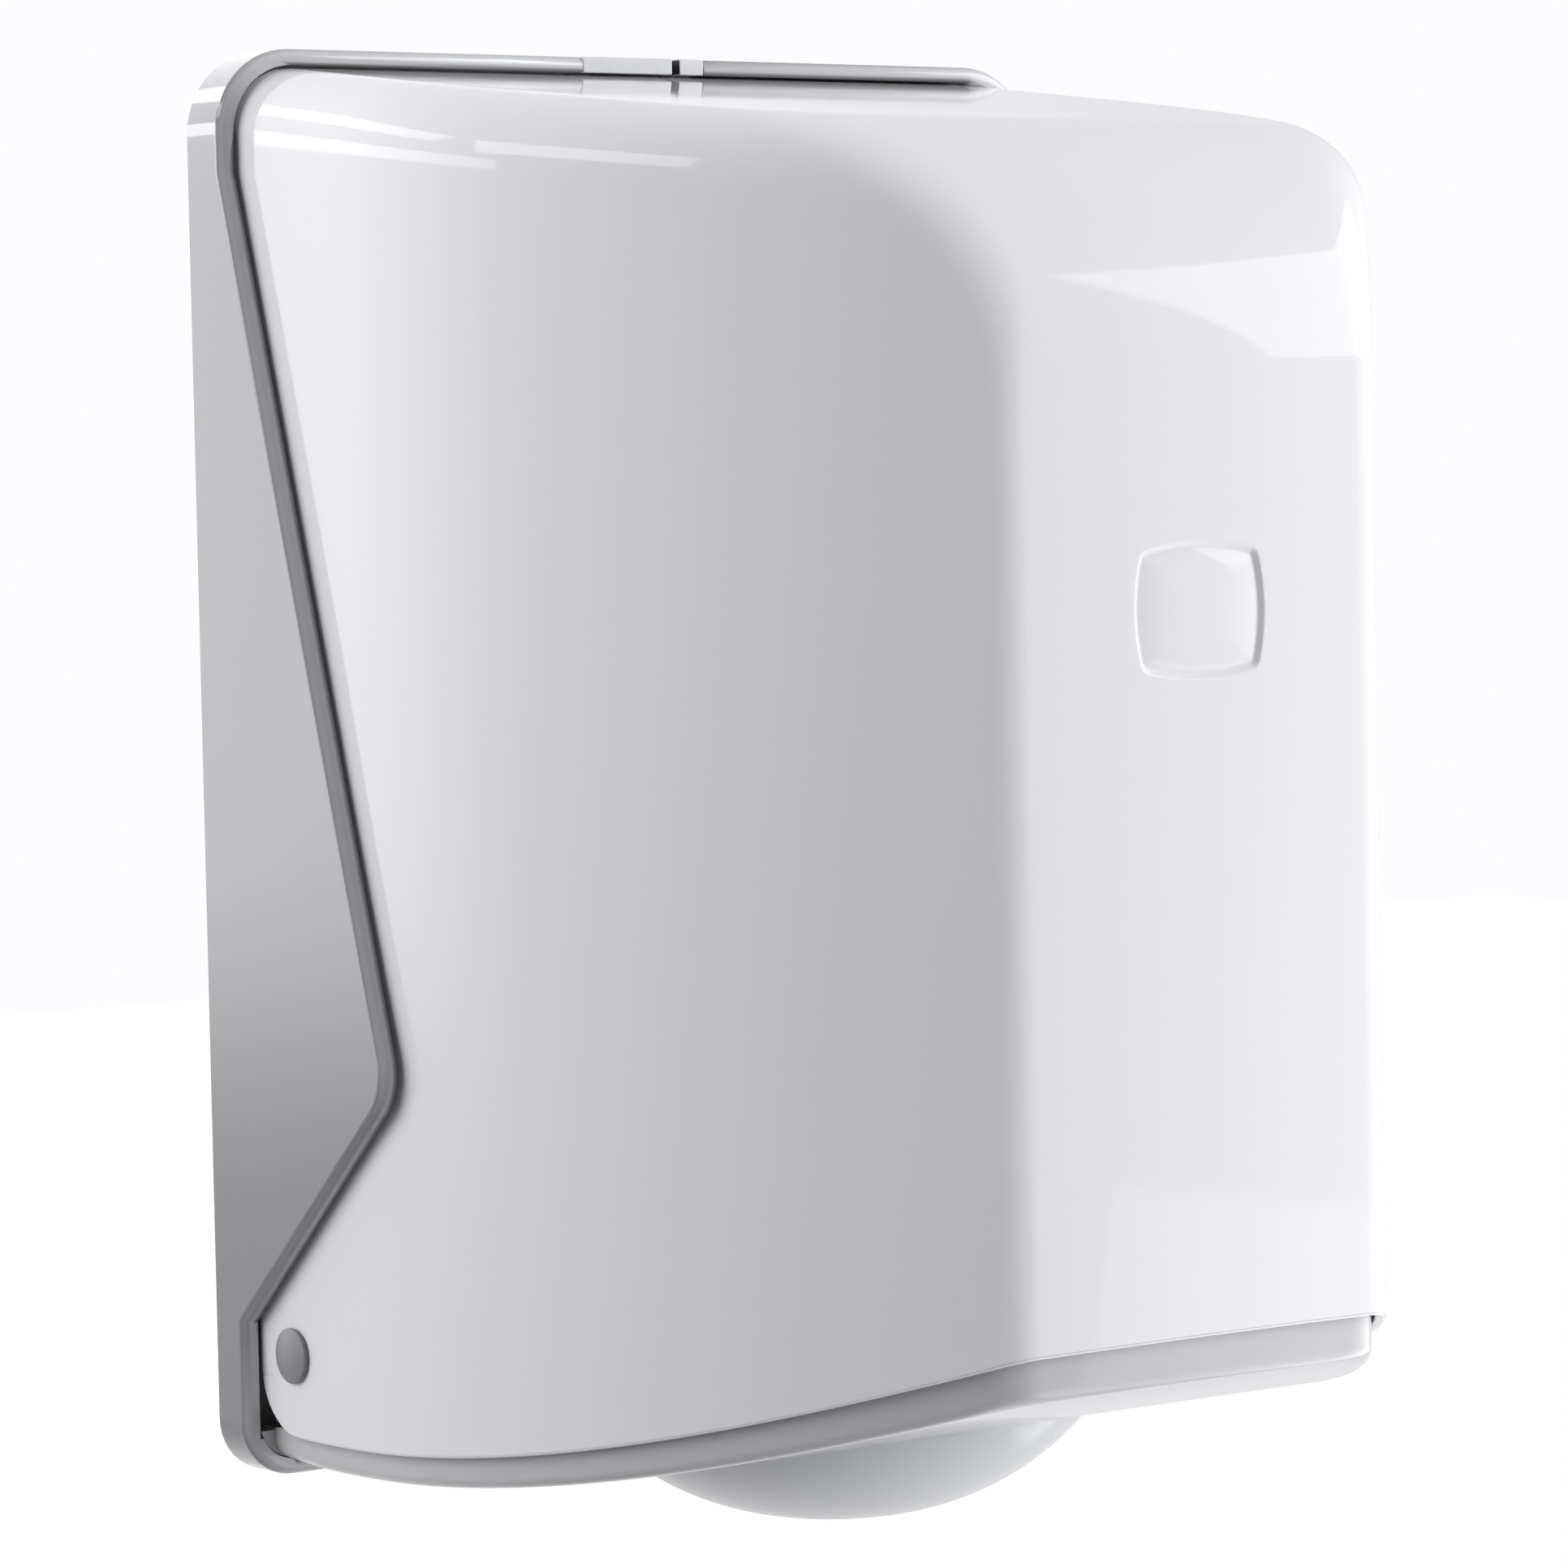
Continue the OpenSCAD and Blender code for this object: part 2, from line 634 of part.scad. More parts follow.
module roll_platform() {
    color("#c4c7c9") placed() difference() {
        translate([0, -roll_mid, 0]) {
            translate([0, 0, platform_under]) cylinder(r = platform_r, h = platform_t, $fn = 180);
            difference() {
                translate([0, 0, platform_top]) cylinder(r = platform_r, h = platform_lip, $fn = 180);
                translate([0, 0, platform_top - over])
                    cylinder(r = platform_r - platform_lip_t, h = platform_lip + 2 * over, $fn = 180);
            }
        }
        at_bowl() translate([0, 0, platform_under - over]) cylinder(r = platform_hole_r, h = far);
        block(far, -far, platform_back, 0, far);
        for (spot = post_spots)
            translate([spot[0], -spot[1], platform_under - over]) cylinder(d = bolt_d + 2 * bolt_fit, h = far);
    }
}

module platform_screws() {
    color("silver") placed() for (spot = post_spots)
        translate([spot[0], -spot[1], platform_top])
            screw(platform_screw_l, bolt_d, bolt_head_d, bolt_head_t);
}

module outlet_bowl() {
    color("#cfd4d6") placed() at_bowl() difference() {
        rotate_extrude($fn = 180) {
            intersection() {
                difference() {
                    bowl_outline(0);
                    intersection() {
                        bowl_outline(-bowl_wall);
                        translate([0, bowl_floor]) square(far);
                    }
                }
                square([far, 2 * (bowl_seat + bowl_wall)], center = true);
            }
            translate([bowl_r - bowl_wall, bowl_seat]) square([bowl_flange + bowl_wall, bowl_wall]);
        }
        translate([0, 0, bowl_bottom - over]) cylinder(d = outlet_d, h = nozzle_seat + 2 * over);
        // flat on the back of the flange, clear of the tray's fixing flange
        translate([0, bowl_mid, 0]) block(far, 0, flange_front + bowl_gap, bowl_seat - over, far);
        bowl_ring(bowl_bolts, bowl_screw_r, 45) translate([0, 0, bowl_seat - over])
            cylinder(d = bolt_d + 2 * bolt_fit, h = bowl_wall + 2 * over);
        bowl_ring(nozzle_bolts, nozzle_bolt_r, 90) translate([0, 0, bowl_floor - nozzle_bite])
            cylinder(d = nozzle_bolt_d + 2 * bolt_fit, h = nozzle_seat);
    }
}

module bowl_screws() {
    color("silver") placed() at_bowl() bowl_ring(bowl_bolts, bowl_screw_r, 45)
        translate([0, 0, bowl_seat + bowl_wall]) screw(bowl_screw_l, bolt_d, bolt_head_d, bolt_head_t);
}

module nozzle_disc() {
    color("#3c3f42") placed() at_bowl() translate([0, 0, bowl_floor]) linear_extrude(nozzle_t) difference() {
        circle(nozzle_r);
        circle(d = nozzle_d);
        for (i = [0 : nozzle_slits - 1])
            rotate(i * 360 / nozzle_slits) translate([0, -nozzle_slit_w / 2])
                square([(nozzle_d + outlet_d) / 4, nozzle_slit_w]);
        bowl_ring(nozzle_bolts, nozzle_bolt_r, 90) circle(d = nozzle_bolt_d + 2 * bolt_fit);
    }
}

module nozzle_ring() {
    color("#b9bdc0") placed() at_bowl() translate([0, 0, nozzle_top]) linear_extrude(nozzle_ring_t) difference() {
        circle(nozzle_r);
        circle(d = outlet_d);
        bowl_ring(nozzle_bolts, nozzle_bolt_r, 90) circle(d = nozzle_bolt_d + 2 * bolt_fit);
    }
}

module nozzle_screws() {
    length = nozzle_ring_t + nozzle_t + nozzle_bite - bolt_fit;
    color("silver") placed() at_bowl() bowl_ring(nozzle_bolts, nozzle_bolt_r, 90)
        translate([0, 0, nozzle_top + nozzle_ring_t]) screw(length, nozzle_bolt_d, 2 * nozzle_bolt_d, nozzle_bolt_d / 2);
}

// A turned pin on the right, headed outside the cover and grooved for its clip
module hinge_pin() {
    head_in = cover_half + hinge_play;
    dome_r = (pow(pin_head_d / 2, 2) + pin_dome * pin_dome) / (2 * pin_dome);
    translate([0, -pin_depth, pin_height]) rotate([0, 90, 0]) rotate_extrude() difference() {
        union() {
            translate([0, pin_end]) square([pin_d / 2, head_in - pin_end]);
            intersection() {
                translate([0, head_in]) square([pin_head_d / 2, pin_head_t]);
                translate([0, head_in + pin_head_t - dome_r]) circle(dome_r, $fn = 180);
            }
        }
        translate([groove_d / 2, clip_in - pin_fit]) square([pin_d, clip_t + 2 * pin_fit]);
    }
}
module hinge_pin_right() color("#8f9295") placed() hinge_pin();
module hinge_pin_left() color("#8f9295") placed() mirror([1, 0, 0]) hinge_pin();

// A spring clip in the groove of the right-hand pin, open towards the front
module pin_clip() {
    gap = groove_d + 2 * pin_fit;
    translate([clip_in + clip_t / 2, 0, 0]) across(clip_t) translate([pin_depth, pin_height]) difference() {
        circle(d = clip_d);
        circle(d = gap);
        translate([0, -gap / 2]) square([clip_d, gap]);
    }
}
module pin_clip_right() color("dimgray") placed() pin_clip();
module pin_clip_left() color("dimgray") placed() mirror([1, 0, 0]) pin_clip();

module lock_housing() {
    color("#d8dadb") placed() difference() {
        union() {
            block(housing_w / 2, back_t, housing_front, housing_low, housing_top);
            // posts under the ends of the key window
            both_sides() translate([(bolt_half + window_w / 2) / 2 + slide_fit, 0, 0])
                block((window_w / 2 - bolt_half) / 2 - slide_fit, back_t, tongue_front, housing_top - over, rim_under);
        }
        block(bolt_half + slide_fit, bolt_back - slide_fit, bolt_front + slide_fit, spring_foot, far);
        block(nose_half + slide_fit, bolt_back, housing_front + over, bolt_low - latch_travel - over, far);
        for (x = [-1, 1]) {
            wall_rod(x * housing_bolt_x, housing_bolt_z, 0, far, bolt_d + 2 * bolt_fit);
            wall_rod(x * housing_bolt_x, housing_bolt_z, 0, back_t + lock_boss_t, boss_d + 2 * bolt_fit);
            wall_rod(x * housing_bolt_x, housing_bolt_z, housing_front - bolt_head_t, far, bolt_head_d + over);
        }
    }
}

module lock_screws() {
    seat = housing_front - bolt_head_t;
    color("silver") placed() for (x = [-1, 1])
        translate([x * housing_bolt_x, -seat, housing_bolt_z]) rotate([90, 0, 0])
            screw(seat - 2 * over, bolt_d, bolt_head_d, bolt_head_t);
}

module key_window() {
    color("#dfe8ee", 0.5) placed() difference() {
        block(window_w / 2, back_t, rim_depth, rim_under, shell_h);
        translate([slit_x, 0, 0]) block(slit_w / 2, back_t + 2, rim_depth + over, rim_under - over, shell_h + over);
    }
}

module latch_bolt() {
    color("#e6e8ea") placed() {
        block(bolt_half, bolt_back, bolt_front, bolt_low, bolt_top);
        // arm under the catch, and the nose in front of it, ramped so that the closing cover rides over
        across(2 * nose_half) polygon([[bolt_front - over, bolt_low], [nose_back + nose_t, bolt_low],
            [nose_back + nose_t, nose_top - nose_t], [nose_back + nose_t / 4, nose_top], [nose_back, nose_top],
            [nose_back, arm_top], [bolt_front - over, arm_top]]);
        // tongue under the key slit
        translate([slit_x, 0, 0])
            block(bolt_half - slit_x, bolt_back, tongue_front, bolt_top - over, rim_under - over);
    }
}

module latch_spring() {
    rings = 14;
    sides = 6;
    coil_r = (spring_d - spring_wire) / 2;
    wire_r = spring_wire / 2;
    foot = spring_foot + wire_r + 0.05;
    rise = bolt_low - spring_foot - spring_wire - 0.1;
    count = spring_turns * rings;
    middle = (bolt_back + bolt_front) / 2;
    points = [for (k = [0 : count]) let (a = 360 * k / rings)
        for (s = [0 : sides - 1]) let (b = 360 * s / sides, r = coil_r + wire_r * cos(b))
            [r * cos(a), r * sin(a) - middle, foot + rise * k / count + wire_r * sin(b)]];
    echo(least_gap_between_turns = rise / spring_turns - spring_wire);
    sleeve = [for (k = [0 : count - 1]) for (s = [0 : sides - 1])
        let (n = (s + 1) % sides, p = k * sides)
            each [[p + s, p + n, p + sides + s], [p + n, p + sides + n, p + sides + s]]];
    ends = [[for (s = [sides - 1 : -1 : 0]) s], [for (s = [0 : sides - 1]) count * sides + s]];
    color("silver") placed() polyhedron(points, concat(sleeve, ends), convexity = 10);
}

module front_cover() {
    color("white") placed() difference() {
        union() {
            intersection() {
                difference() {
                    cover_form(0, back_t + over, 0);
                    cover_form(cover_wall, back_t, -over);
                }
                across(shell_w) cover_side();
            }
            both_sides() side_rod(cover_half - cover_wall - ear_boss_t, cover_half - cover_wall / 2, ear_boss_d);
            // catch behind the nose of the bolt
            block(catch_w / 2, catch_back, catch_front, catch_low, top_at(catch_front, cover_wall / 2));
        }
        both_sides() side_rod(lug_out - over, cover_half + over, pin_d + 2 * pin_fit);
        translate([0, badge_depth - front_depth - front_crown, badge_mid]) from_wall(far) badge_outline();
    }
}

back_shell();
base_tray();
tray_screws();
roll_platform();
platform_screws();
outlet_bowl();
bowl_screws();
nozzle_disc();
nozzle_ring();
nozzle_screws();
hinge_pin_left();
hinge_pin_right();
pin_clip_left();
pin_clip_right();
lock_housing();
lock_screws();
key_window();
latch_bolt();
latch_spring();
front_cover();
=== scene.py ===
import json
import math

import bmesh
import bpy
from mathutils import Matrix, Vector


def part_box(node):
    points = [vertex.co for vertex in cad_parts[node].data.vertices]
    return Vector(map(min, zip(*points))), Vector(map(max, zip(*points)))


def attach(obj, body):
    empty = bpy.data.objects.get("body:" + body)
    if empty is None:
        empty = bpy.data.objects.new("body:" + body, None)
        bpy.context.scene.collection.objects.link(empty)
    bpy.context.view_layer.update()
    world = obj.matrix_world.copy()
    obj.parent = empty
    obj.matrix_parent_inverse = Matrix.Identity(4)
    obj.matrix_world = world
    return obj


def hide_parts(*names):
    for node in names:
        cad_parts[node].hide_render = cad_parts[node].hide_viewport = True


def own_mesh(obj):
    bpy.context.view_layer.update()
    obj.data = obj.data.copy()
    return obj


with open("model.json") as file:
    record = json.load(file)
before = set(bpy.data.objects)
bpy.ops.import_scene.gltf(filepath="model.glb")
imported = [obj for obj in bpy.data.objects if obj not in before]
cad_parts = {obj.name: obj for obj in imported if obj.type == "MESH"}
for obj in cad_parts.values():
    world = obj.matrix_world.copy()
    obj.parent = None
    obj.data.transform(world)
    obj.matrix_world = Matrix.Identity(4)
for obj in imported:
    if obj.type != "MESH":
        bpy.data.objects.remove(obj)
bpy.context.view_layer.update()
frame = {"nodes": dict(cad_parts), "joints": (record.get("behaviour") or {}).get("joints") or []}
nodes = frame["nodes"]
scene = bpy.context.scene
mm = 0.001
print("frame loaded:", len(nodes), "nodes")


# small tools for working on one object at a time
fine = {
    "nodeGap": 0.002, "skinGap": 0.004, "mirrorGap": 0.005,   # mm: vertices that are merged
    "flatAngle": 0.4,      # degrees: faces that become one
    "square": 0.9,         # part of a normal along an axis, for a face that looks that way
}


def only(obj):
    if bpy.context.object and bpy.context.object.mode != "OBJECT":
        bpy.ops.object.mode_set(mode="OBJECT")
    bpy.ops.object.select_all(action="DESELECT")
    obj.select_set(True)
    bpy.context.view_layer.objects.active = obj


def edit(obj, kind="VERT"):
    only(obj)
    bpy.ops.object.mode_set(mode="EDIT")
    bpy.ops.mesh.select_mode(type=kind)
    bpy.ops.mesh.select_all(action="DESELECT")


def editAll(obj):
    edit(obj)
    bpy.ops.mesh.select_all(action="SELECT")


def pick(obj, test, kind):
    # selects the edges or faces that pass the test, in edit mode
    bpy.ops.mesh.select_mode(type=kind)
    bpy.ops.mesh.select_all(action="DESELECT")
    work = bmesh.from_edit_mesh(obj.data)
    work.normal_update()
    for part in {"EDGE": work.edges, "FACE": work.faces}[kind]:
        if test(part):
            part.select_set(True)
    work.select_flush_mode()
    bmesh.update_edit_mesh(obj.data)


def done():
    bpy.ops.object.mode_set(mode="OBJECT")


def settle(obj):
    # puts the object's place, turn and size into its mesh
    only(obj)
    bpy.ops.object.transform_apply(location=True, rotation=True, scale=True)
    return obj


def primitive(name, operator, **settings):
    # a new primitive, settled where it stands
    bpy.ops.object.select_all(action="DESELECT")
    operator(**settings)
    obj = bpy.context.object
    obj.name = name
    return settle(obj)


def discard(*objects):
    for obj in objects:
        bpy.data.objects.remove(obj)


def apply(obj, kind, **settings):
    only(obj)
    modifier = obj.modifiers.new(kind.lower(), kind)
    for key, value in settings.items():
        setattr(modifier, key, value)
    bpy.ops.object.modifier_apply(modifier=modifier.name)


def cut(obj, tool, operation="DIFFERENCE"):
    apply(obj, "BOOLEAN", operation=operation, object=tool, solver="EXACT")
    return obj


def sharper(degrees):
    # a test for edges whose two faces turn by more than an angle
    return lambda e: len(e.link_faces) == 2 and e.calc_face_angle(0) > math.radians(degrees)


def bevel(obj, test, offset, segments, clamp=False):
    # rounds the edges that pass the test
    edit(obj, "EDGE")
    pick(obj, test, "EDGE")
    bpy.ops.mesh.bevel(offset=offset * mm, segments=segments, affect="EDGES", clamp_overlap=clamp)
    done()


def smooth(obj, degrees):
    # large flat faces keep their own normal
    only(obj)
    bpy.ops.object.shade_smooth_by_angle(angle=math.radians(degrees))
    apply(obj, "WEIGHTED_NORMAL", weight=100, keep_sharp=True)


def merge(obj, gap):
    editAll(obj)
    bpy.ops.mesh.remove_doubles(threshold=gap * mm)
    done()


def faceOut(obj):
    editAll(obj)
    bpy.ops.mesh.normals_make_consistent(inside=False)
    done()


def closeHoles(obj):
    edit(obj, "EDGE")
    pick(obj, lambda e: e.is_boundary, "EDGE")
    bpy.ops.mesh.edge_face_add()
    done()
    faceOut(obj)


def join(obj, *others):
    only(obj)
    for other in others:
        other.select_set(True)
    bpy.ops.object.join()
    return obj


def copyNode(node, name):
    # a merged copy of a CAD node, with its flat faces made whole again
    obj = bpy.data.objects.new(name, nodes[node].data.copy())
    scene.collection.objects.link(obj)
    obj.data.materials.clear()
    editAll(obj)
    bpy.ops.mesh.remove_doubles(threshold=fine["nodeGap"] * mm)
    bpy.ops.mesh.dissolve_limited(angle_limit=math.radians(fine["flatAngle"]))
    done()
    return obj


def looseBoxes(node):
    # lowest and highest corner of each solid of a node
    editAll(copyNode(node, node + "_probe"))
    bpy.ops.mesh.separate(type="LOOSE")
    done()
    found = []
    for part in list(bpy.context.selected_objects):
        points = [v.co for v in part.data.vertices]
        found.append((Vector([min(p[i] for p in points) for i in range(3)]),
                      Vector([max(p[i] for p in points) for i in range(3)])))
        discard(part)
    return found


def place(obj, body, node, material):
    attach(obj, body)
    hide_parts(node)
    obj.data.materials.clear()
    obj.data.materials.append(material)
    return obj


# the camera: where it stands, what it looks at, and its slight lean
cameraView = {
    "position": (-0.8697, -1.2541, 0.0618),
    "aim": (-0.0015, -0.0707, -0.0196),
    "lean": 1.15,
    "lens": 137.0,
    "sensor": 36.0,
}


def addCamera():
    stand = Vector(cameraView["position"])
    look = (Vector(cameraView["aim"]) - stand).to_track_quat("-Z", "Y").to_matrix()
    lean = Matrix.Rotation(math.radians(-cameraView["lean"]), 3, "Z")
    bpy.ops.object.camera_add(location=stand, rotation=(look @ lean).to_euler())
    camera = bpy.context.object
    camera.data.lens = cameraView["lens"]
    camera.data.sensor_width = cameraView["sensor"]
    scene.camera = camera


addCamera()
print("camera set")


# shader maths: a wire is a socket with operators, a board adds nodes to one material
class Wire:
    def __init__(self, board, socket):
        self.board, self.socket = board, socket

    def math(self, operation, other, swapped=False):
        pair = (other, self) if swapped else (self, other)
        return self.board.add("ShaderNodeMath", {"operation": operation}, {0: pair[0], 1: pair[1]})

    def __add__(self, other): return self.math("ADD", other)
    def __radd__(self, other): return self.math("ADD", other, True)
    def __sub__(self, other): return self.math("SUBTRACT", other)
    def __rsub__(self, other): return self.math("SUBTRACT", other, True)
    def __mul__(self, other): return self.math("MULTIPLY", other)
    def __rmul__(self, other): return self.math("MULTIPLY", other, True)


class Board:
    def __init__(self, owner, coordinates="Object"):
        # owner is the name of a new material, or a world
        self.material = bpy.data.materials.new(owner) if isinstance(owner, str) else owner
        self.material.use_nodes = True
        self.tree = self.material.node_tree
        self.shader = self.tree.nodes.get("Principled BSDF")
        self.place = self.add("ShaderNodeTexCoord", {}, {}, coordinates)

    def add(self, kind, settings, sockets, out=0):
        node = self.tree.nodes.new(kind)
        for key, value in settings.items():
            setattr(node, key, value)
        for key, value in sockets.items():
            self.put(node.inputs[key], value)
        return Wire(self, node.outputs[out])

    def put(self, socket, value):
        if isinstance(value, Wire):
            self.tree.links.new(value.socket, socket)
        else:
            socket.default_value = value

    def set(self, **values):
        for key, value in values.items():
            self.put(self.shader.inputs[key.replace("_", " ")], value)

    def noise(self, scale, detail=2.0):
        return self.add("ShaderNodeTexNoise", {}, {"Vector": self.place, "Scale": scale, "Detail": detail})

    def part(self, vector, axis):
        return self.add("ShaderNodeSeparateXYZ", {}, {0: vector}, axis)

    def fade(self, value, edge, ends, curve="LINEAR"):
        # goes from one end to the other while the value crosses the edge
        return self.add("ShaderNodeMapRange", {"interpolation_type": curve},
                        {"Value": value, 1: edge[0], 2: edge[1], 3: ends[0], 4: ends[1]})

    def uneven(self, factor, middle, shift):
        return self.fade(factor, (0.3, 0.7), (middle - shift, middle + shift))

    def tint(self, factor, colourA, colourB):
        return self.add("ShaderNodeMix", {"data_type": "RGBA"}, {0: factor, 6: colourA, 7: colourB}, 2)

    def bump(self, height, strength, distance):
        return self.add("ShaderNodeBump", {}, {"Strength": strength, "Distance": distance, "Height": height})


def paint(colour, share=1.0):
    return tuple(c * share for c in colour) + (1.0,)


# scales of the clouds and of the haze, depth of the grain, and where the painted light goes: faces that look forward,
# and the heights of the rim's top
plasticForm = {"cloud": 9.0, "haze": 38.0, "deep": 0.0001, "paintedLightFacing": (-0.9, -0.3), "top": (0.15, 0.17)}


def plastic(name, look):
    # moulded plastic: cloudy tint, uneven gloss and a faint grain; the two forward tints in the look are painted
    # light: lighter colours on faces that look forward, in general and at the top
    board = Board(name)
    grainScale, grainStrength = look["grain"]
    cloud = board.noise(plasticForm["cloud"], 3.0)
    tint = board.tint(cloud, paint(look["colour"]), paint(look["colour"], look["shift"]))
    if "front" in look:
        # painted light: faces that look forward are tinted lighter, and paler still at the rim's top
        normal = board.add("ShaderNodeNewGeometry", {}, {}, "Normal")
        paintedLightFacing = board.fade(board.part(normal, "Y"), plasticForm["paintedLightFacing"], (1.0, 0.0))
        top = board.fade(board.part(board.place, "Z"), plasticForm["top"], (0.0, 1.0))
        tint = board.tint(paintedLightFacing, tint, board.tint(top, paint(look["front"]), paint(look["frontTop"])))
    board.set(Base_Color=tint,
              Roughness=board.uneven(board.noise(plasticForm["haze"]), *look["rough"]),
              Normal=board.bump(board.noise(grainScale), grainStrength, plasticForm["deep"]),
              IOR=1.45, Coat_Weight=look.get("coat", 0.0), Coat_Roughness=0.03)
    return board.material


def steel(name, colour, rough):
    # plated or plain steel: fine drawn grain and a few duller patches
    board = Board(name)
    grain = board.noise(520.0, 3.0)
    board.set(Base_Color=board.tint(board.noise(70.0), paint(colour), paint(colour, 0.9)), Metallic=1.0,
              Roughness=board.uneven(grain, rough, 0.07), Normal=board.bump(grain, 0.05, 0.00005))
    return board.material


def clearBlock(name, colour, rough):
    # moulded clear plastic, slightly frosted
    board = Board(name)
    frost = board.noise(260.0, 3.0)
    board.set(Base_Color=board.tint(board.noise(30.0), paint(colour), paint(colour, 0.95)),
              IOR=1.58, Transmission_Weight=0.05,
              Roughness=board.uneven(frost, rough, 0.05), Normal=board.bump(frost, 0.06, 0.00008))
    return board.material


# each plastic: colour and its darker share, roughness and its shift, scale and strength of the grain
whitePlastic = plastic("glossy_white_abs", {
    "colour": (0.8, 0.795, 0.825), "shift": 0.985, "rough": (0.05, 0.01), "grain": (900.0, 0.02)})
# the shell's grey with painted light: faces that look forward are lighter, and paler still at the top of the rim
greyPlasticPaintedLight = plastic("glossy_grey_abs_painted_light", {
    "colour": (0.25, 0.251, 0.261), "shift": 0.96, "rough": (0.1, 0.02), "grain": (1100.0, 0.03), "coat": 1.0,
    "front": (0.52, 0.526, 0.539), "frontTop": (0.82, 0.83, 0.845)})
pinPlastic = plastic("satin_grey_abs", {
    "colour": (0.25, 0.251, 0.261), "shift": 0.96, "rough": (0.4, 0.04), "grain": (1100.0, 0.05)})
# the tray's grey, lighter than the shell's: partly its own tone and partly painted light
trayGreyPartlyPaintedLight = plastic("tray_grey_abs_partly_painted_light", {
    "colour": (0.54, 0.541, 0.555), "shift": 0.97, "rough": (0.14, 0.02), "grain": (1100.0, 0.03), "coat": 0.6})
paleGreyPlastic = plastic("pale_grey_abs", {
    "colour": (0.6, 0.61, 0.625), "shift": 0.97, "rough": (0.2, 0.03), "grain": (1100.0, 0.04), "coat": 0.1})
acetal = plastic("white_acetal", {
    "colour": (0.76, 0.765, 0.77), "shift": 0.97, "rough": (0.38, 0.05), "grain": (1400.0, 0.06)})
rubber = plastic("nozzle_rubber", {
    "colour": (0.028, 0.028, 0.03), "shift": 0.8, "rough": (0.55, 0.06), "grain": (1500.0, 0.15)})
slitShadow = plastic("slit_shadow", {
    "colour": (0.03, 0.03, 0.032), "shift": 0.8, "rough": (0.5, 0.05), "grain": (1100.0, 0.05)})
windowPlastic = clearBlock("clear_polycarbonate", (0.84, 0.852, 0.87), 0.16)
zincSteel = steel("zinc_plated_steel", (0.66, 0.67, 0.68), 0.3)
springSteel = steel("spring_steel", (0.4, 0.41, 0.43), 0.33)
print("materials made")


# sizes of the cover and of what it follows, in mm; heights are from the shell's foot
shellLow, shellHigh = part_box("back_shell")
coverLow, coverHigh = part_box("front_cover")
hinge = next(j for j in frame["joints"] if j["name"] == "cover_hinge")["pos_m"]
footZ = shellLow.z
cheek = {
    "rimDepth": 15.0,      # rim above the cheeks, out from the wall
    "topHeight": 317.5,    # where the cheeks start to widen
    "kneeDepth": 80.0,
    "kneeHeight": 99.5,
    "kneeRadius": 14.0,
    "footDepth": 12.5,
    "footHeight": 38.5,
}
cover = {
    "wall": 2.5,
    "half": coverHigh.x / mm,
    "creaseHalf": 54.0,
    "crown": 1.8,          # bow of the front between the creases
    "frontBack": 2.6,      # front behind that of the solid
    "sideStraight": 60.0,
    "slope": math.radians(6.8),
    "rollRadius": 58.0,
    "filletRadius": 17.0,
    "creaseSoft": 5.5,
    "creaseSoftTop": 24.0,
    "softBack": 0.75,      # reach of a crease along the side, as a share of that on the front
    "edgeBack": 11.5,
    "edgeFront": 45.1,
    "edgeStart": 34.0,
    "earRadius": 17.0,
    "earBack": 10.9,
    "earStep": 1.2,        # height over which the ear's back edge changes to the cheek's line
    "tuck": 4.0,           # back edge behind the face of the cheeks
    "topGap": 0.9,
    "rimThick": 4.0,
}
cover["depth"] = -coverLow.y / mm - cover["frontBack"] - cover["crown"]
pinDepth, pinHeight = -hinge[1] / mm, (hinge[2] - footZ) / mm


def halfAt(q, inset=0.0):
    # half width of the cover at a depth
    pull = cover["half"] - cover["creaseHalf"]
    run = cover["depth"] - cover["sideStraight"]
    radius = (pull * pull + run * run) / (2 * pull)
    if q < cover["sideStraight"]:
        return cover["half"] - inset
    return cover["half"] - radius + math.sqrt((radius - inset) ** 2 - (q - cover["sideStraight"]) ** 2)


def arcLift(q, low, high):
    # rise of an arc that leaves the level at edgeStart and is at its full height at the front
    run = cover["depth"] - cover["edgeStart"]
    radius = (run * run + (high - low) ** 2) / (2 * (high - low))
    return low + radius - math.sqrt(radius * radius - (q - cover["edgeStart"]) ** 2)


def edgeAt(q):
    return arcLift(q, cover["edgeBack"], cover["edgeFront"])


def topAt(q):
    rimUnder = (shellHigh.z - footZ) / mm - cover["rimThick"]
    return rimUnder - cover["topGap"] - (q - cheek["rimDepth"]) * math.tan(cover["slope"])


def kneeArc():
    # tangent points and centre of the rounded knee, as depth and height
    knee = Vector((cheek["kneeDepth"], cheek["kneeHeight"]))
    up = (Vector((cheek["rimDepth"], cheek["topHeight"])) - knee).normalized()
    down = (Vector((cheek["footDepth"], cheek["footHeight"])) - knee).normalized()
    half = up.angle(down) / 2
    reach = cheek["kneeRadius"] / math.tan(half)
    centre = knee + (up + down).normalized() * cheek["kneeRadius"] / math.sin(half)
    return knee + up * reach, knee + down * reach, centre


kneeTop, kneeBottom, kneeCentre = kneeArc()


def cheekAt(h):
    # front line of the cheeks at a height
    def along(a, b):
        return a[0] + (b[0] - a[0]) * (h - a[1]) / (b[1] - a[1])
    if h >= cheek["topHeight"]:
        return cheek["rimDepth"]
    if h >= kneeTop.y:
        return along(kneeTop, (cheek["rimDepth"], cheek["topHeight"]))
    if h >= kneeBottom.y:
        return kneeCentre.x + math.sqrt(cheek["kneeRadius"] ** 2 - (h - kneeCentre.y) ** 2)
    if h >= cheek["footHeight"]:
        return along((cheek["footDepth"], cheek["footHeight"]), kneeBottom)
    return cheek["footDepth"]


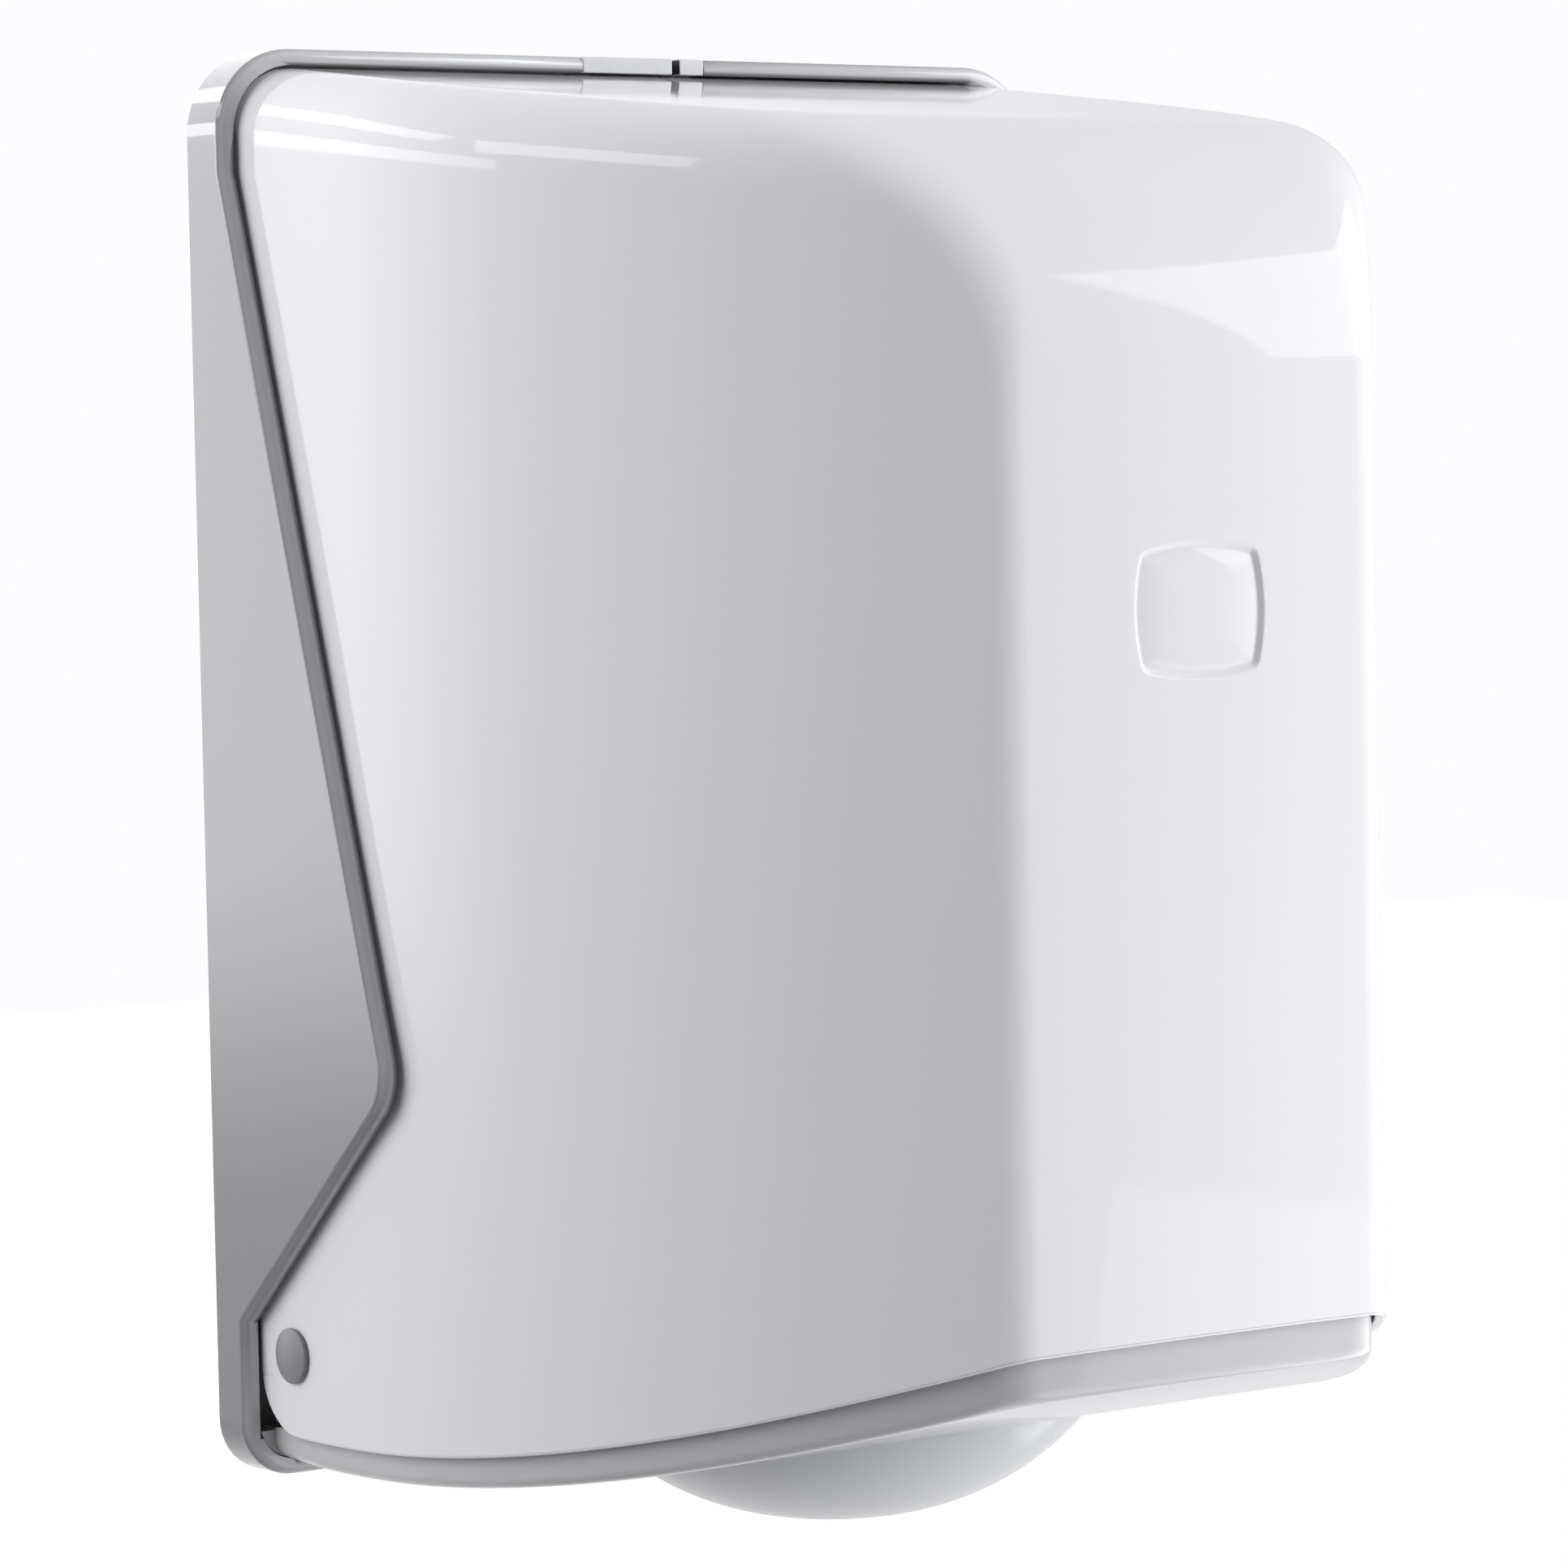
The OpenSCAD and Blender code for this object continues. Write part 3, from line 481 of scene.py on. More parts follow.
def backAt(h):
    # back edge of the cover: behind the cheeks, and round the ear at the hinge
    earMid = cover["edgeBack"] + cover["earRadius"]
    if h > earMid + cover["earRadius"]:
        return cheekAt(h) - cover["tuck"]
    if h >= earMid:
        return cover["earBack"]
    drop = min(earMid - h, cover["earRadius"])
    return cover["earBack"] + cover["earRadius"] - math.sqrt(cover["earRadius"] ** 2 - drop * drop)


def halfSection(back, depth, inset, narrow, soft, counts):
    # right half of a level section: side, soft crease, bowed front
    nSide, nSoft, nFront = counts
    corner = halfAt(depth, inset) - narrow
    turn = depth - soft * cover["softBack"]
    land = corner - soft

    def bow(x):
        return depth + cover["crown"] * (1 - (x / corner) ** 2)
    a = Vector((halfAt(turn, inset) - narrow, turn))
    b = Vector((corner, depth))
    c = Vector((land, bow(land)))
    points = []
    for i in range(nSide + 1):
        q = back + (turn - back) * i / nSide
        points.append((halfAt(q, inset) - narrow, q))
    for i in range(1, nSoft + 1):
        t = i / nSoft
        points.append(tuple(a * (1 - t) ** 2 + b * 2 * t * (1 - t) + c * t * t))
    for i in range(1, nFront + 1):
        x = land * (1 - i / nFront)
        points.append((x, bow(x)))
    return points


# points along a section, and rows of the skin from the lower edge up; the ear's rows are closer near the edge
coverGrid = {"counts": (40, 14, 16), "ear": 10, "earPower": 1.25, "collar": 5, "low": 10, "knee": 10, "high": 32,
             "roll": 40, "cap": 12}


def coverRows():
    # every row of the cover's skin, from the lower edge to the middle line of the top
    earMid = cover["edgeBack"] + cover["earRadius"]
    earTop = earMid + cover["earRadius"]
    rollStart = math.pi / 2 - cover["slope"]
    rollQ = cover["depth"] - cover["rollRadius"]
    counts = coverGrid["counts"]

    def dropAt(turn):
        return cover["rollRadius"] * (1 - math.cos(turn)) / math.cos(cover["slope"])

    def backOfLevel(drop):
        # height at the back edge of a level that lies a given distance under the top
        h = topAt(cover["earBack"]) - drop
        for _ in range(20):
            h = topAt(backAt(h)) - drop
        return h

    def spread(a, b, n):
        return [a + (b - a) * (i + 1) / n for i in range(n)]

    firstLevel = backOfLevel(dropAt(rollStart))
    heights = [cover["edgeBack"] + cover["earRadius"] * (i / coverGrid["ear"]) ** coverGrid["earPower"]
               for i in range(coverGrid["ear"] + 1)]
    heights += spread(earMid, earTop, coverGrid["collar"])
    heights += [earTop + cover["earStep"]]
    heights += spread(heights[-1], kneeBottom.y, coverGrid["low"])
    heights += spread(kneeBottom.y, kneeTop.y, coverGrid["knee"])
    heights += spread(kneeTop.y, firstLevel, coverGrid["high"])
    rows = []
    for h in heights:
        back = backAt(h)
        full = topAt(back) - dropAt(rollStart) - edgeAt(back)
        share = max(0.0, (h - edgeAt(back)) / full)
        section = halfSection(back, cover["depth"], 0, 0, cover["creaseSoft"], counts)
        rows.append([(x, q, edgeAt(q) + share * (topAt(q) - dropAt(rollStart) - edgeAt(q))) for x, q in section])
    for i in range(1, coverGrid["roll"] + 1):
        turn = rollStart * (1 - i / coverGrid["roll"])
        drop = dropAt(turn)
        fillet = cover["filletRadius"]
        narrow = fillet - math.sqrt(fillet ** 2 - (fillet - drop) ** 2) if drop < fillet else 0
        soft = cover["creaseSoft"] + (cover["creaseSoftTop"] - cover["creaseSoft"]) * i / coverGrid["roll"]
        back = backAt(backOfLevel(drop))
        depth = rollQ + cover["rollRadius"] * math.sin(turn + cover["slope"])
        section = halfSection(back, depth, 0, narrow, soft, counts)
        rows.append([(x, q, topAt(q) - drop) for x, q in section])
    last = rows[-1]
    for i in range(1, coverGrid["cap"] + 1):
        rows.append([(x * (1 - i / coverGrid["cap"]), q, h) for x, q, h in last])
    return rows


def gridPiece(name, rows):
    # a grid primitive whose vertices are set to the given rows, as x, depth and height in mm
    wide, tall = len(rows[0]), len(rows)
    obj = primitive(name, bpy.ops.mesh.primitive_grid_add, x_subdivisions=wide - 1, y_subdivisions=tall - 1,
                    size=1)
    for j, row in enumerate(rows):
        for i, (x, q, h) in enumerate(row):
            obj.data.vertices[j * wide + i].co = (x * mm, -q * mm, footZ + h * mm)
    return obj


def mirrorHalf(obj):
    apply(obj, "MIRROR", use_axis=(True, False, False), use_mirror_merge=True,
          merge_threshold=fine["mirrorGap"] * mm)
    merge(obj, fine["skinGap"])
    faceOut(obj)


badge = {
    "width": 38.0, "height": 31.0, "middle": 210.2, "corner": 2.8, "bow": 2.0,
    "margin": 3.0,         # flat left round the outline
    # rings from the cover's face down to the floor: growth of the outline and depth
    "rings": [(1.4, 0.0), (0.4, 0.0), (0.15, 0.05), (-0.1, 0.2), (-0.9, 0.9), (-1.15, 1.05), (-1.4, 1.1)],
    "floor": [0.98, 0.95, 0.91, 0.86, 0.8, 0.72, 0.6, 0.45, 0.28, 0.12],
    "cuts": 5,             # more points on the outline, for round corners
    "dome": 1.0, "domeEdge": 4,   # the floor is nearly flat and falls away near its edge
}


def badgeReach(direction, grow):
    # distance from the badge's middle to its pillow outline, grown by a little
    w, h = badge["width"] / 2 - badge["corner"], badge["height"] / 2 - badge["corner"]
    sideR = (h * h + badge["bow"] ** 2) / (2 * badge["bow"])
    endR = (w * w + badge["bow"] ** 2) / (2 * badge["bow"])
    r = badge["corner"] + grow
    # the corner of the inner form, where its side and end arcs meet
    corner = Vector((w, h))
    for _ in range(30):
        x = w - sideR + math.sqrt(sideR ** 2 - corner.y ** 2)
        y = h - endR + math.sqrt(endR ** 2 - x ** 2)
        corner = Vector((x, y))
    sideOut = (corner - Vector((w - sideR, 0))).normalized()
    endOut = (corner - Vector((0, h - endR))).normalized()

    def inside(p):
        p = Vector((abs(p.x), abs(p.y)))
        off = p - corner
        if off.dot(Vector((-sideOut.y, sideOut.x))) > 0 and off.dot(Vector((endOut.y, -endOut.x))) > 0:
            return off.length <= r
        return ((p - Vector((w - sideR, 0))).length <= sideR + r
                and (p - Vector((0, h - endR))).length <= endR + r)
    low, high = 0.0, badge["width"]
    for _ in range(40):
        middle = (low + high) / 2
        low, high = (middle, high) if inside(direction * middle) else (low, middle)
    return low


def badgeSteps():
    # growth of the outline, share of its size and depth for each ring, down the wall and over the floor
    grow, foot = badge["rings"][-1]
    wall = [(ringGrow, 1.0, depth) for ringGrow, depth in badge["rings"]]
    return wall + [(grow, share, foot - badge["dome"] * (1 - share ** badge["domeEdge"])) for share in badge["floor"]]


def sinkBadge(obj):
    # opens the outer skin round the badge and closes it again with rings that go down to a domed floor
    midZ = footZ + badge["middle"] * mm
    halfW = (badge["width"] / 2 + badge["margin"]) * mm
    halfH = (badge["height"] / 2 + badge["margin"]) * mm

    def frontFace(x):
        return cover["depth"] + cover["crown"] * (1 - (x / cover["creaseHalf"]) ** 2)

    def onPatch(face):
        c = face.calc_center_median()
        return abs(c.x) < halfW and abs(c.z - midZ) < halfH and face.normal.y < -fine["square"]
    edit(obj, "FACE")
    pick(obj, onPatch, "FACE")
    bpy.ops.mesh.delete(type="FACE")
    pick(obj, lambda e: e.is_boundary and abs(e.verts[0].co.z - midZ) < 2 * halfH, "EDGE")
    bpy.ops.mesh.subdivide(number_cuts=badge["cuts"])
    for grow, share, sink in badgeSteps():
        bpy.ops.mesh.extrude_edges_move()
        work = bmesh.from_edit_mesh(obj.data)
        for v in work.verts:
            if not v.select:
                continue
            toward = Vector((v.co.x, v.co.z - midZ)).normalized()
            reach = badgeReach(toward, grow) * share
            x = toward.x * reach
            v.co = (x * mm, -(frontFace(x) - sink) * mm, midZ + toward.y * reach * mm)
        bmesh.update_edit_mesh(obj.data)
    bpy.ops.mesh.merge(type="CENTER")
    done()


def addBar(name, radius, length, middle, turn):
    return primitive(name, bpy.ops.mesh.primitive_cylinder_add, vertices=64, radius=radius * mm,
                     depth=length * mm, location=middle, rotation=turn)


def addRod(name, x0, x1, radius):
    # a round bar along X on the hinge axis
    return addBar(name, radius, x1 - x0, ((x0 + x1) / 2 * mm, hinge[1], hinge[2]), (0, math.pi / 2, 0))


def addDisc(name, x, h, radius, back, front):
    # a round bar that points out of the wall
    middle = (x * mm, -(back + front) / 2 * mm, footZ + h * mm)
    return addBar(name, radius, front - back, middle, (math.pi / 2, 0, 0))


def addBlock(name, low, high):
    # a box from its lowest to its highest corner: x, depth and height in mm
    obj = primitive(name, bpy.ops.mesh.primitive_cube_add, size=1)
    middle = [(a + b) / 2 * mm for a, b in zip(low, high)]
    obj.scale = [(b - a) * mm for a, b in zip(low, high)]
    obj.location = (middle[0], -middle[1], footZ + middle[2])
    return settle(obj)


coverDetail = {
    "sharp": 60, "edgeBevel": 0.8,
    "bossRadius": 8.5, "bossOut": 2.0, "bossSink": 0.6, "bossBevel": 0.4, "boreRadius": 3.55,
    "catchHalf": 7.0, "catchBack": 13.3, "catchFront": 16.3, "catchLow": 334.0, "catchGap": 1.2, "catchBevel": 0.5,
    # fine lines on the ears: height from the pin and length from the back edge
    "lines": ((9.8, 4.0), (-6.1, 7.0)), "lineWide": 0.3, "lineDeep": 0.3,
    "clear": 3.0,          # how far a cutter stands out of the cover
}


def addBosses(drill):
    # round bosses inside the ears, bored for the pins
    inner = cover["half"] - cover["wall"]
    bosses = []
    for side in (-1, 1):
        ends = sorted((side * (inner - coverDetail["bossOut"]), side * (inner + coverDetail["bossSink"])))
        boss = addRod("boss", *ends, coverDetail["bossRadius"])
        apply(boss, "BEVEL", width=coverDetail["bossBevel"] * mm, segments=2)
        bosses.append(cut(boss, drill))
    return bosses


def addCatch():
    # the bar under the top that the latch bolt holds
    half, front = coverDetail["catchHalf"], coverDetail["catchFront"]
    catch = addBlock("catch", (-half, coverDetail["catchBack"], coverDetail["catchLow"]),
                     (half, front, topAt(front) - coverDetail["catchGap"]))
    apply(catch, "BEVEL", width=coverDetail["catchBevel"] * mm, segments=3)
    return catch


def addLineCutters():
    # cutters for the fine lines on both ears
    back, clear = cover["earBack"], coverDetail["clear"]
    cutters = []
    for rise, length in coverDetail["lines"]:
        low = pinHeight + rise - coverDetail["lineWide"] / 2
        for side in (-1, 1):
            near, far = sorted((side * (cover["half"] - coverDetail["lineDeep"]), side * (cover["half"] + clear)))
            cutters.append(addBlock("line", (near, back - clear, low),
                                    (far, back + length, low + coverDetail["lineWide"])))
    return cutters


def makeCover():
    obj = gridPiece("cover_shell", coverRows())
    mirrorHalf(obj)
    apply(obj, "SOLIDIFY", thickness=cover["wall"] * mm, offset=-1.0, use_even_offset=True)
    bevel(obj, sharper(coverDetail["sharp"]), coverDetail["edgeBevel"], 3)
    sinkBadge(obj)
    reach = cover["half"] + coverDetail["clear"]
    drill = addRod("drill", -reach, reach, coverDetail["boreRadius"])
    bosses = addBosses(drill)
    join(drill, *addLineCutters())
    cut(obj, drill)
    discard(drill)
    join(obj, *bosses, addCatch())
    smooth(obj, 40)
    return place(obj, "cover", "front_cover", whitePlastic)


coverPiece = makeCover()
print("cover made:", len(coverPiece.data.polygons), "faces")


# the back shell: a copy of the solid with its rim rounded over
shell = {
    "rimRound": 2.2, "rimReach": 6.5, "rimFrom": 8.0,
    "sharp": 30, "frontFacing": -0.3, "wallFacing": 0.1, "sideFacing": 0.01,
}


def outerRim(e):
    # edges between the rim's front faces and the walls that face outward
    if not sharper(shell["sharp"])(e):
        return False
    front, wall = sorted((f.normal for f in e.link_faces), key=lambda n: n.y)
    if front.y > shell["frontFacing"] or abs(wall.y) > shell["wallFacing"]:
        return False
    centre = (e.verts[0].co + e.verts[1].co) / 2
    midZ = (shellLow.z + shellHigh.z) / 2
    sideways = wall.x * centre.x > 0 and abs(wall.x) > shell["sideFacing"]
    gap = min(shellHigh.x - abs(centre.x), shellHigh.z - centre.z, centre.z - shellLow.z)
    return ((sideways or wall.z * (centre.z - midZ) > 0)
            and gap < shell["rimReach"] * mm and -centre.y > shell["rimFrom"] * mm)


def makeShell():
    obj = copyNode("back_shell", "back_shell_body")
    bevel(obj, outerRim, shell["rimRound"], 6)
    smooth(obj, 40)
    return place(obj, "housing", "back_shell", greyPlasticPaintedLight)


makeShell()
print("shell made")

# the base tray: a fine open shell, with what stands in it added inside
tray = {
    "inset": 3.3,          # in from the cover's outer face
    "wall": 3.0,
    "back": 6.5,           # reaches in behind the shell's rim
    "lap": 6.0,            # wall that goes up behind the cover's lower edge
    "lapStart": 14.0, "lapFull": 26.0,
    "high": 70.0,          # above everything that stands in the tray
    "underBack": 4.1,
    "underFront": 36.3,
    "soft": 6.5, "softLow": 14.0,   # corner at the top and at the lower edge
    "sharp": 70, "rimFrom": 12.0, "rimBevel": 0.5,   # sharp edges of the rim, above the floor
    "round": 2.4,          # lower edge
    "roundMore": 2.4, "roundRun": 26.0,   # larger rounding at the back, inside the shell's corners
    "counts": (48, 16, 20),
    "backSteps": 16, "roundSteps": 8, "wallSteps": 6,
    "flangeHalf": 89.0, "flangeBack": 11.0, "flangeFront": 14.0, "flangeTop": 43.5, "flangeBevel": 0.8,
    "lugIn": 106.8, "lugOut": 114.8, "lugRadius": 9.0,
    "postRadius": 4.5, "postSides": 40,
    "collarRadius": 73.0, "collarTop": 28.5, "collarSides": 96,
    # ends that fill the shell's lower corners behind the rim: a round of the shell's inner corner, cut off level
    "endX": 111.0, "endHeight": 14.0, "endRadius": 9.6, "endBack": 7.0, "endFront": 11.8, "endTop": 11.5,
    "clear": 20.0,         # size of the cutter above the ends
}
bowlForm = {"middle": 85.0, "bottom": -12.5, "flat": 8.0, "turn": 71.0, "radius": 65.0, "gap": 0.3,
            "holeTop": 60.0, "sides": 128}


def underAt(q):
    return arcLift(q, tray["underBack"], tray["underFront"])


def trayTop(q):
    share = min(1.0, max(0.0, (q - tray["lapStart"]) / (tray["lapFull"] - tray["lapStart"])))
    return edgeAt(q) + tray["lap"] * share


def trayRing(turn):
    # right half of a ring: back, side, soft corner and front, at a turn of the lower rounding
    up = math.sin(turn)
    draw = tray["round"] * (1 - up)
    soft = tray["softLow"] + (tray["soft"] - tray["softLow"]) * up
    points = []
    for x, q in halfSection(tray["back"], cover["depth"] - tray["inset"] - draw, tray["inset"] + draw, 0, soft,
                            tray["counts"]):
        more = tray["roundMore"] * max(0.0, 1 - (q - tray["back"]) / tray["roundRun"])
        raised = (tray["round"] + more) * (1 - math.cos(turn))
        points.append((x - more * (1 - up), q, underAt(q) + raised))
    x, q, h = points[0]
    return [(x * i / tray["backSteps"], q, h) for i in range(tray["backSteps"])] + points


def traySkin(name, topOf):
    # the tray's outside, open at the top
    wall = trayRing(math.pi / 2)
    rows = []
    for i in range(tray["wallSteps"]):
        share = i / tray["wallSteps"]
        rows.append([(x, q, topOf(q) + (h - topOf(q)) * share) for x, q, h in wall])
    for i in range(tray["roundSteps"] + 1):
        rows.append(trayRing(math.pi / 2 * (1 - i / tray["roundSteps"])))
    edge = rows[-1][tray["backSteps"]:]
    shares = [1 - i / tray["backSteps"] for i in range(tray["backSteps"] + 1)]
    floor = [[(x * share, q, h) for x, q, h in edge] for share in shares]
    obj = join(gridPiece(name, rows), gridPiece("tray_floor", floor))
    mirrorHalf(obj)
    return obj


def lathe(name, profile, segments, x=0.0, q=0.0):
    # turns a profile of radius and height in mm round an upright axis, closed at both ends
    obj = primitive(name, bpy.ops.mesh.primitive_circle_add, vertices=segments, radius=1, fill_type="NOTHING")
    edit(obj, "EDGE")
    bpy.ops.mesh.select_all(action="SELECT")
    for i, (radius, height) in enumerate(profile):
        if i:
            bpy.ops.mesh.extrude_edges_move()
        work = bmesh.from_edit_mesh(obj.data)
        for v in work.verts:
            if v.select:
                way = Vector((v.co.x, v.co.y)).normalized()
                v.co = (way.x * radius * mm, way.y * radius * mm, height * mm)
        bmesh.update_edit_mesh(obj.data)
    closeHoles(obj)
    obj.location = (x * mm, -q * mm, 0)
    return settle(obj)


def lift(obj, height=footZ):
    # raises a piece, by default from heights above the foot to its place in the frame
    obj.location.z = height
    return settle(obj)


def bowlProfile(grow, top, steps=24):
    # outside of the bowl from its floor to its straight wall
    middle = bowlForm["bottom"] + bowlForm["turn"]
    points = [(bowlForm["flat"] / 2, bowlForm["bottom"] - grow)]
    full = math.asin((bowlForm["radius"] - bowlForm["flat"]) / bowlForm["turn"])
    for i in range(steps + 1):
        turn = full * i / steps
        reach = bowlForm["turn"] + grow
        points.append((bowlForm["flat"] + reach * math.sin(turn), middle - reach * math.cos(turn)))
    points.append((bowlForm["radius"] + grow, top))
    return points


def addCollar():
    # a ring round the bowl, as far as the inside of the tray reaches
    inside = traySkin("tray_inside", lambda q: tray["high"])
    closeHoles(inside)
    lift(inside, tray["wall"] / 2 * mm)
    profile = [(tray["collarRadius"], 0.0), (tray["collarRadius"], tray["collarTop"])]
    collar = cut(lift(lathe("collar", profile, tray["collarSides"], q=bowlForm["middle"])), inside, "INTERSECT")
    discard(inside)
    return collar


def addFlange():
    # the upright plate that the tray screws go through
    half, front = tray["flangeHalf"], tray["flangeFront"]
    flange = addBlock("flange", (-half, tray["flangeBack"], underAt(front) + tray["wall"]),
                      (half, front, tray["flangeTop"]))
    apply(flange, "BEVEL", width=tray["flangeBevel"] * mm, segments=3)
    return flange


def addLug(side, drill):
    # a hinge lug on its foot, bored for the pin
    radius = tray["lugRadius"]
    near, far = sorted((side * tray["lugIn"], side * tray["lugOut"]))
    foot = addBlock("lug_foot", (near, pinDepth - radius, underAt(pinDepth) + tray["wall"] / 2),
                    (far, pinDepth + radius, pinHeight))
    lug = cut(addRod("lug", near, far, radius), foot, "UNION")
    discard(foot)
    return cut(lug, drill)


def addEnd(side):
    x, clear = side * tray["endX"], tray["clear"]
    end = addDisc("end", x, tray["endHeight"], tray["endRadius"], tray["endBack"], tray["endFront"])
    above = addBlock("above", (x - clear, tray["endBack"] - 1, tray["endTop"]),
                     (x + clear, tray["endFront"] + 1, tray["endTop"] + clear))
    cut(end, above)
    discard(above)
    return end


def addPosts():
    # a post under each platform screw
    top = (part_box("roll_platform")[0].z - footZ) / mm
    radius = tray["postRadius"]
    posts = []
    for low, high in looseBoxes("platform_screws"):
        x, q = (low.x + high.x) / 2 / mm, -(low.y + high.y) / 2 / mm
        profile = [(radius, underAt(q) + tray["wall"] / 2), (radius, top)]
        posts.append(lift(lathe("post", profile, tray["postSides"], x, q)))
    return posts


def makeTray():
    obj = traySkin("base_tray_body", trayTop)
    apply(obj, "SOLIDIFY", thickness=tray["wall"] * mm, offset=-1.0, use_even_offset=True)
    sharp, rim = sharper(tray["sharp"]), footZ + tray["rimFrom"] * mm
    bevel(obj, lambda e: sharp(e) and min(v.co.z for v in e.verts) > rim, tray["rimBevel"], 2)
    profile = bowlProfile(bowlForm["gap"], bowlForm["holeTop"])
    hole = lift(lathe("bowl_hole", profile, bowlForm["sides"], q=bowlForm["middle"]))
    drill = addRod("drill", -cover["half"], cover["half"], coverDetail["boreRadius"])
    cut(obj, hole)
    extras = [cut(addCollar(), hole), addFlange()]
    for side in (-1, 1):
        extras += [addLug(side, drill), addEnd(side)]
    discard(hole, drill)
    join(obj, *extras, *addPosts())
    smooth(obj, 35)
    return place(obj, "housing", "base_tray", trayGreyPartlyPaintedLight)


trayPiece = makeTray()
print("tray made:", len(trayPiece.data.polygons), "faces")

# pieces that keep their solid's form, with their edges broken
plainPieces = {
    "outlet_bowl": {"edge": 0.3, "slot": "light_grey_abs", "material": paleGreyPlastic},
    "roll_platform": {"edge": 0.4, "slot": "light_grey_abs", "material": paleGreyPlastic},
    "nozzle_ring": {"edge": 0.3, "slot": "light_grey_abs", "material": paleGreyPlastic},
    "lock_housing": {"edge": 0.3, "slot": "light_grey_abs", "material": paleGreyPlastic},
    "nozzle_disc": {"edge": 0.15, "slot": "nozzle_rubber", "material": rubber},
    "hinge_pin_left": {"edge": 0.25, "slot": "grey_abs", "material": pinPlastic},
    "hinge_pin_right": {"edge": 0.25, "slot": "grey_abs", "material": pinPlastic},
    "pin_clip_left": {"edge": 0.12, "slot": "spring_steel", "material": springSteel},
    "pin_clip_right": {"edge": 0.12, "slot": "spring_steel", "material": springSteel},
    "key_window": {"edge": 0.35, "slot": "clear_window", "material": windowPlastic},
    "latch_bolt": {"edge": 0.3, "slot": "white_acetal", "material": acetal, "body": "latch"},
}


plainSharp = 50    # degrees: edges that are broken
slitEnds = 2.0     # mm: the window's own ends, which stay clear


def makePlainPiece(node, finish):
    obj = copyNode(node, node + "_body")
    bevel(obj, sharper(plainSharp), finish["edge"], 3, clamp=True)
    smooth(obj, 35)
    return place(obj, finish.get("body", "housing"), node, finish["material"])


def darkenSlit(obj):
    # the walls of the key slit, deep in the block, between its two ends
    low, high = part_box("key_window")
    obj.data.materials.append(slitShadow)
    for face in obj.data.polygons:
        within = low.x + slitEnds * mm < face.center.x < high.x - slitEnds * mm
        if within and abs(face.normal.x) > fine["square"]:
            face.material_index = 1


plainMade = {node: makePlainPiece(node, finish) for node, finish in plainPieces.items()}
darkenSlit(plainMade["key_window"])
print("plain pieces made")

# screws: a pan head with a cross recess, modelled once for each set and copied to every place
screwSets = {
    "tray_screws": {"shank": 3.5, "head": 7.0, "headHigh": 2.2, "front": True},
    "platform_screws": {"shank": 3.5, "head": 7.0, "headHigh": 2.2, "front": False},
    "bowl_screws": {"shank": 3.5, "head": 7.0, "headHigh": 2.2, "front": False},
    "nozzle_screws": {"shank": 2.2, "head": 4.4, "headHigh": 1.1, "front": False},
    "lock_screws": {"shank": 3.5, "head": 7.0, "headHigh": 2.2, "front": True},
}


# shares of the head's radius and height, and of the shank's radius
screwForm = {
    "sides": 40, "dome": (0.25, 0.6, 0.95, 1.25, 1.5), "domeHigh": 0.55, "rimLow": 0.75, "under": 0.97, "tip": 0.5,
    "slotLong": 1.15, "slotWide": 0.26, "slotHigh": 0.9, "slotAt": 0.15,
}


def makeScrew(name, form, length):
    # along Z, with the top of its head at zero
    head, high, shank = form["head"] / 2, form["headHigh"], form["shank"] / 2
    profile = [(head * math.sin(t), -high * screwForm["domeHigh"] * (1 - math.cos(t))) for t in screwForm["dome"]]
    profile += [(head, -high * screwForm["rimLow"]), (head * screwForm["under"], -high), (shank, -high),
                (shank, -length + shank * screwForm["tip"]), (shank * screwForm["tip"], -length)]
    obj = lathe(name, profile, screwForm["sides"])
    for turn in (0, 90):
        slotBlock = primitive("slot", bpy.ops.mesh.primitive_cube_add, size=1)
        slotBlock.scale = (head * screwForm["slotLong"] * mm, head * screwForm["slotWide"] * mm,
                           high * screwForm["slotHigh"] * mm)
        slotBlock.location.z = -high * screwForm["slotAt"] * mm
        slotBlock.rotation_euler.z = math.radians(turn)
        cut(obj, settle(slotBlock))
        discard(slotBlock)
    return obj


def makeScrews(node, form):
    spots = looseBoxes(node)
    axis = 1 if form["front"] else 2
    first = makeScrew(node + "_set", form, (spots[0][1] - spots[0][0])[axis] / mm)
    copies = [first]
    for _ in spots[1:]:
        copies.append(bpy.data.objects.new(node, first.data.copy()))
        scene.collection.objects.link(copies[-1])
    for obj, (low, high) in zip(copies, spots):
        obj.location = (low + high) / 2
        obj.location[axis] = low.y if form["front"] else high.z
        obj.rotation_euler = (math.pi / 2, 0, 0) if form["front"] else (0, 0, 0)
        settle(obj)
    join(*copies)
    smooth(first, 35)
    return place(first, "housing", node, zincSteel)


for node, form in screwSets.items():
    makeScrews(node, form)
print("screws made")

# the latch spring: one tube along a helix, closed at its ends
spring = {"wire": 0.7, "turns": 6, "rings": 36, "sides": 12, "keep": 0.55}


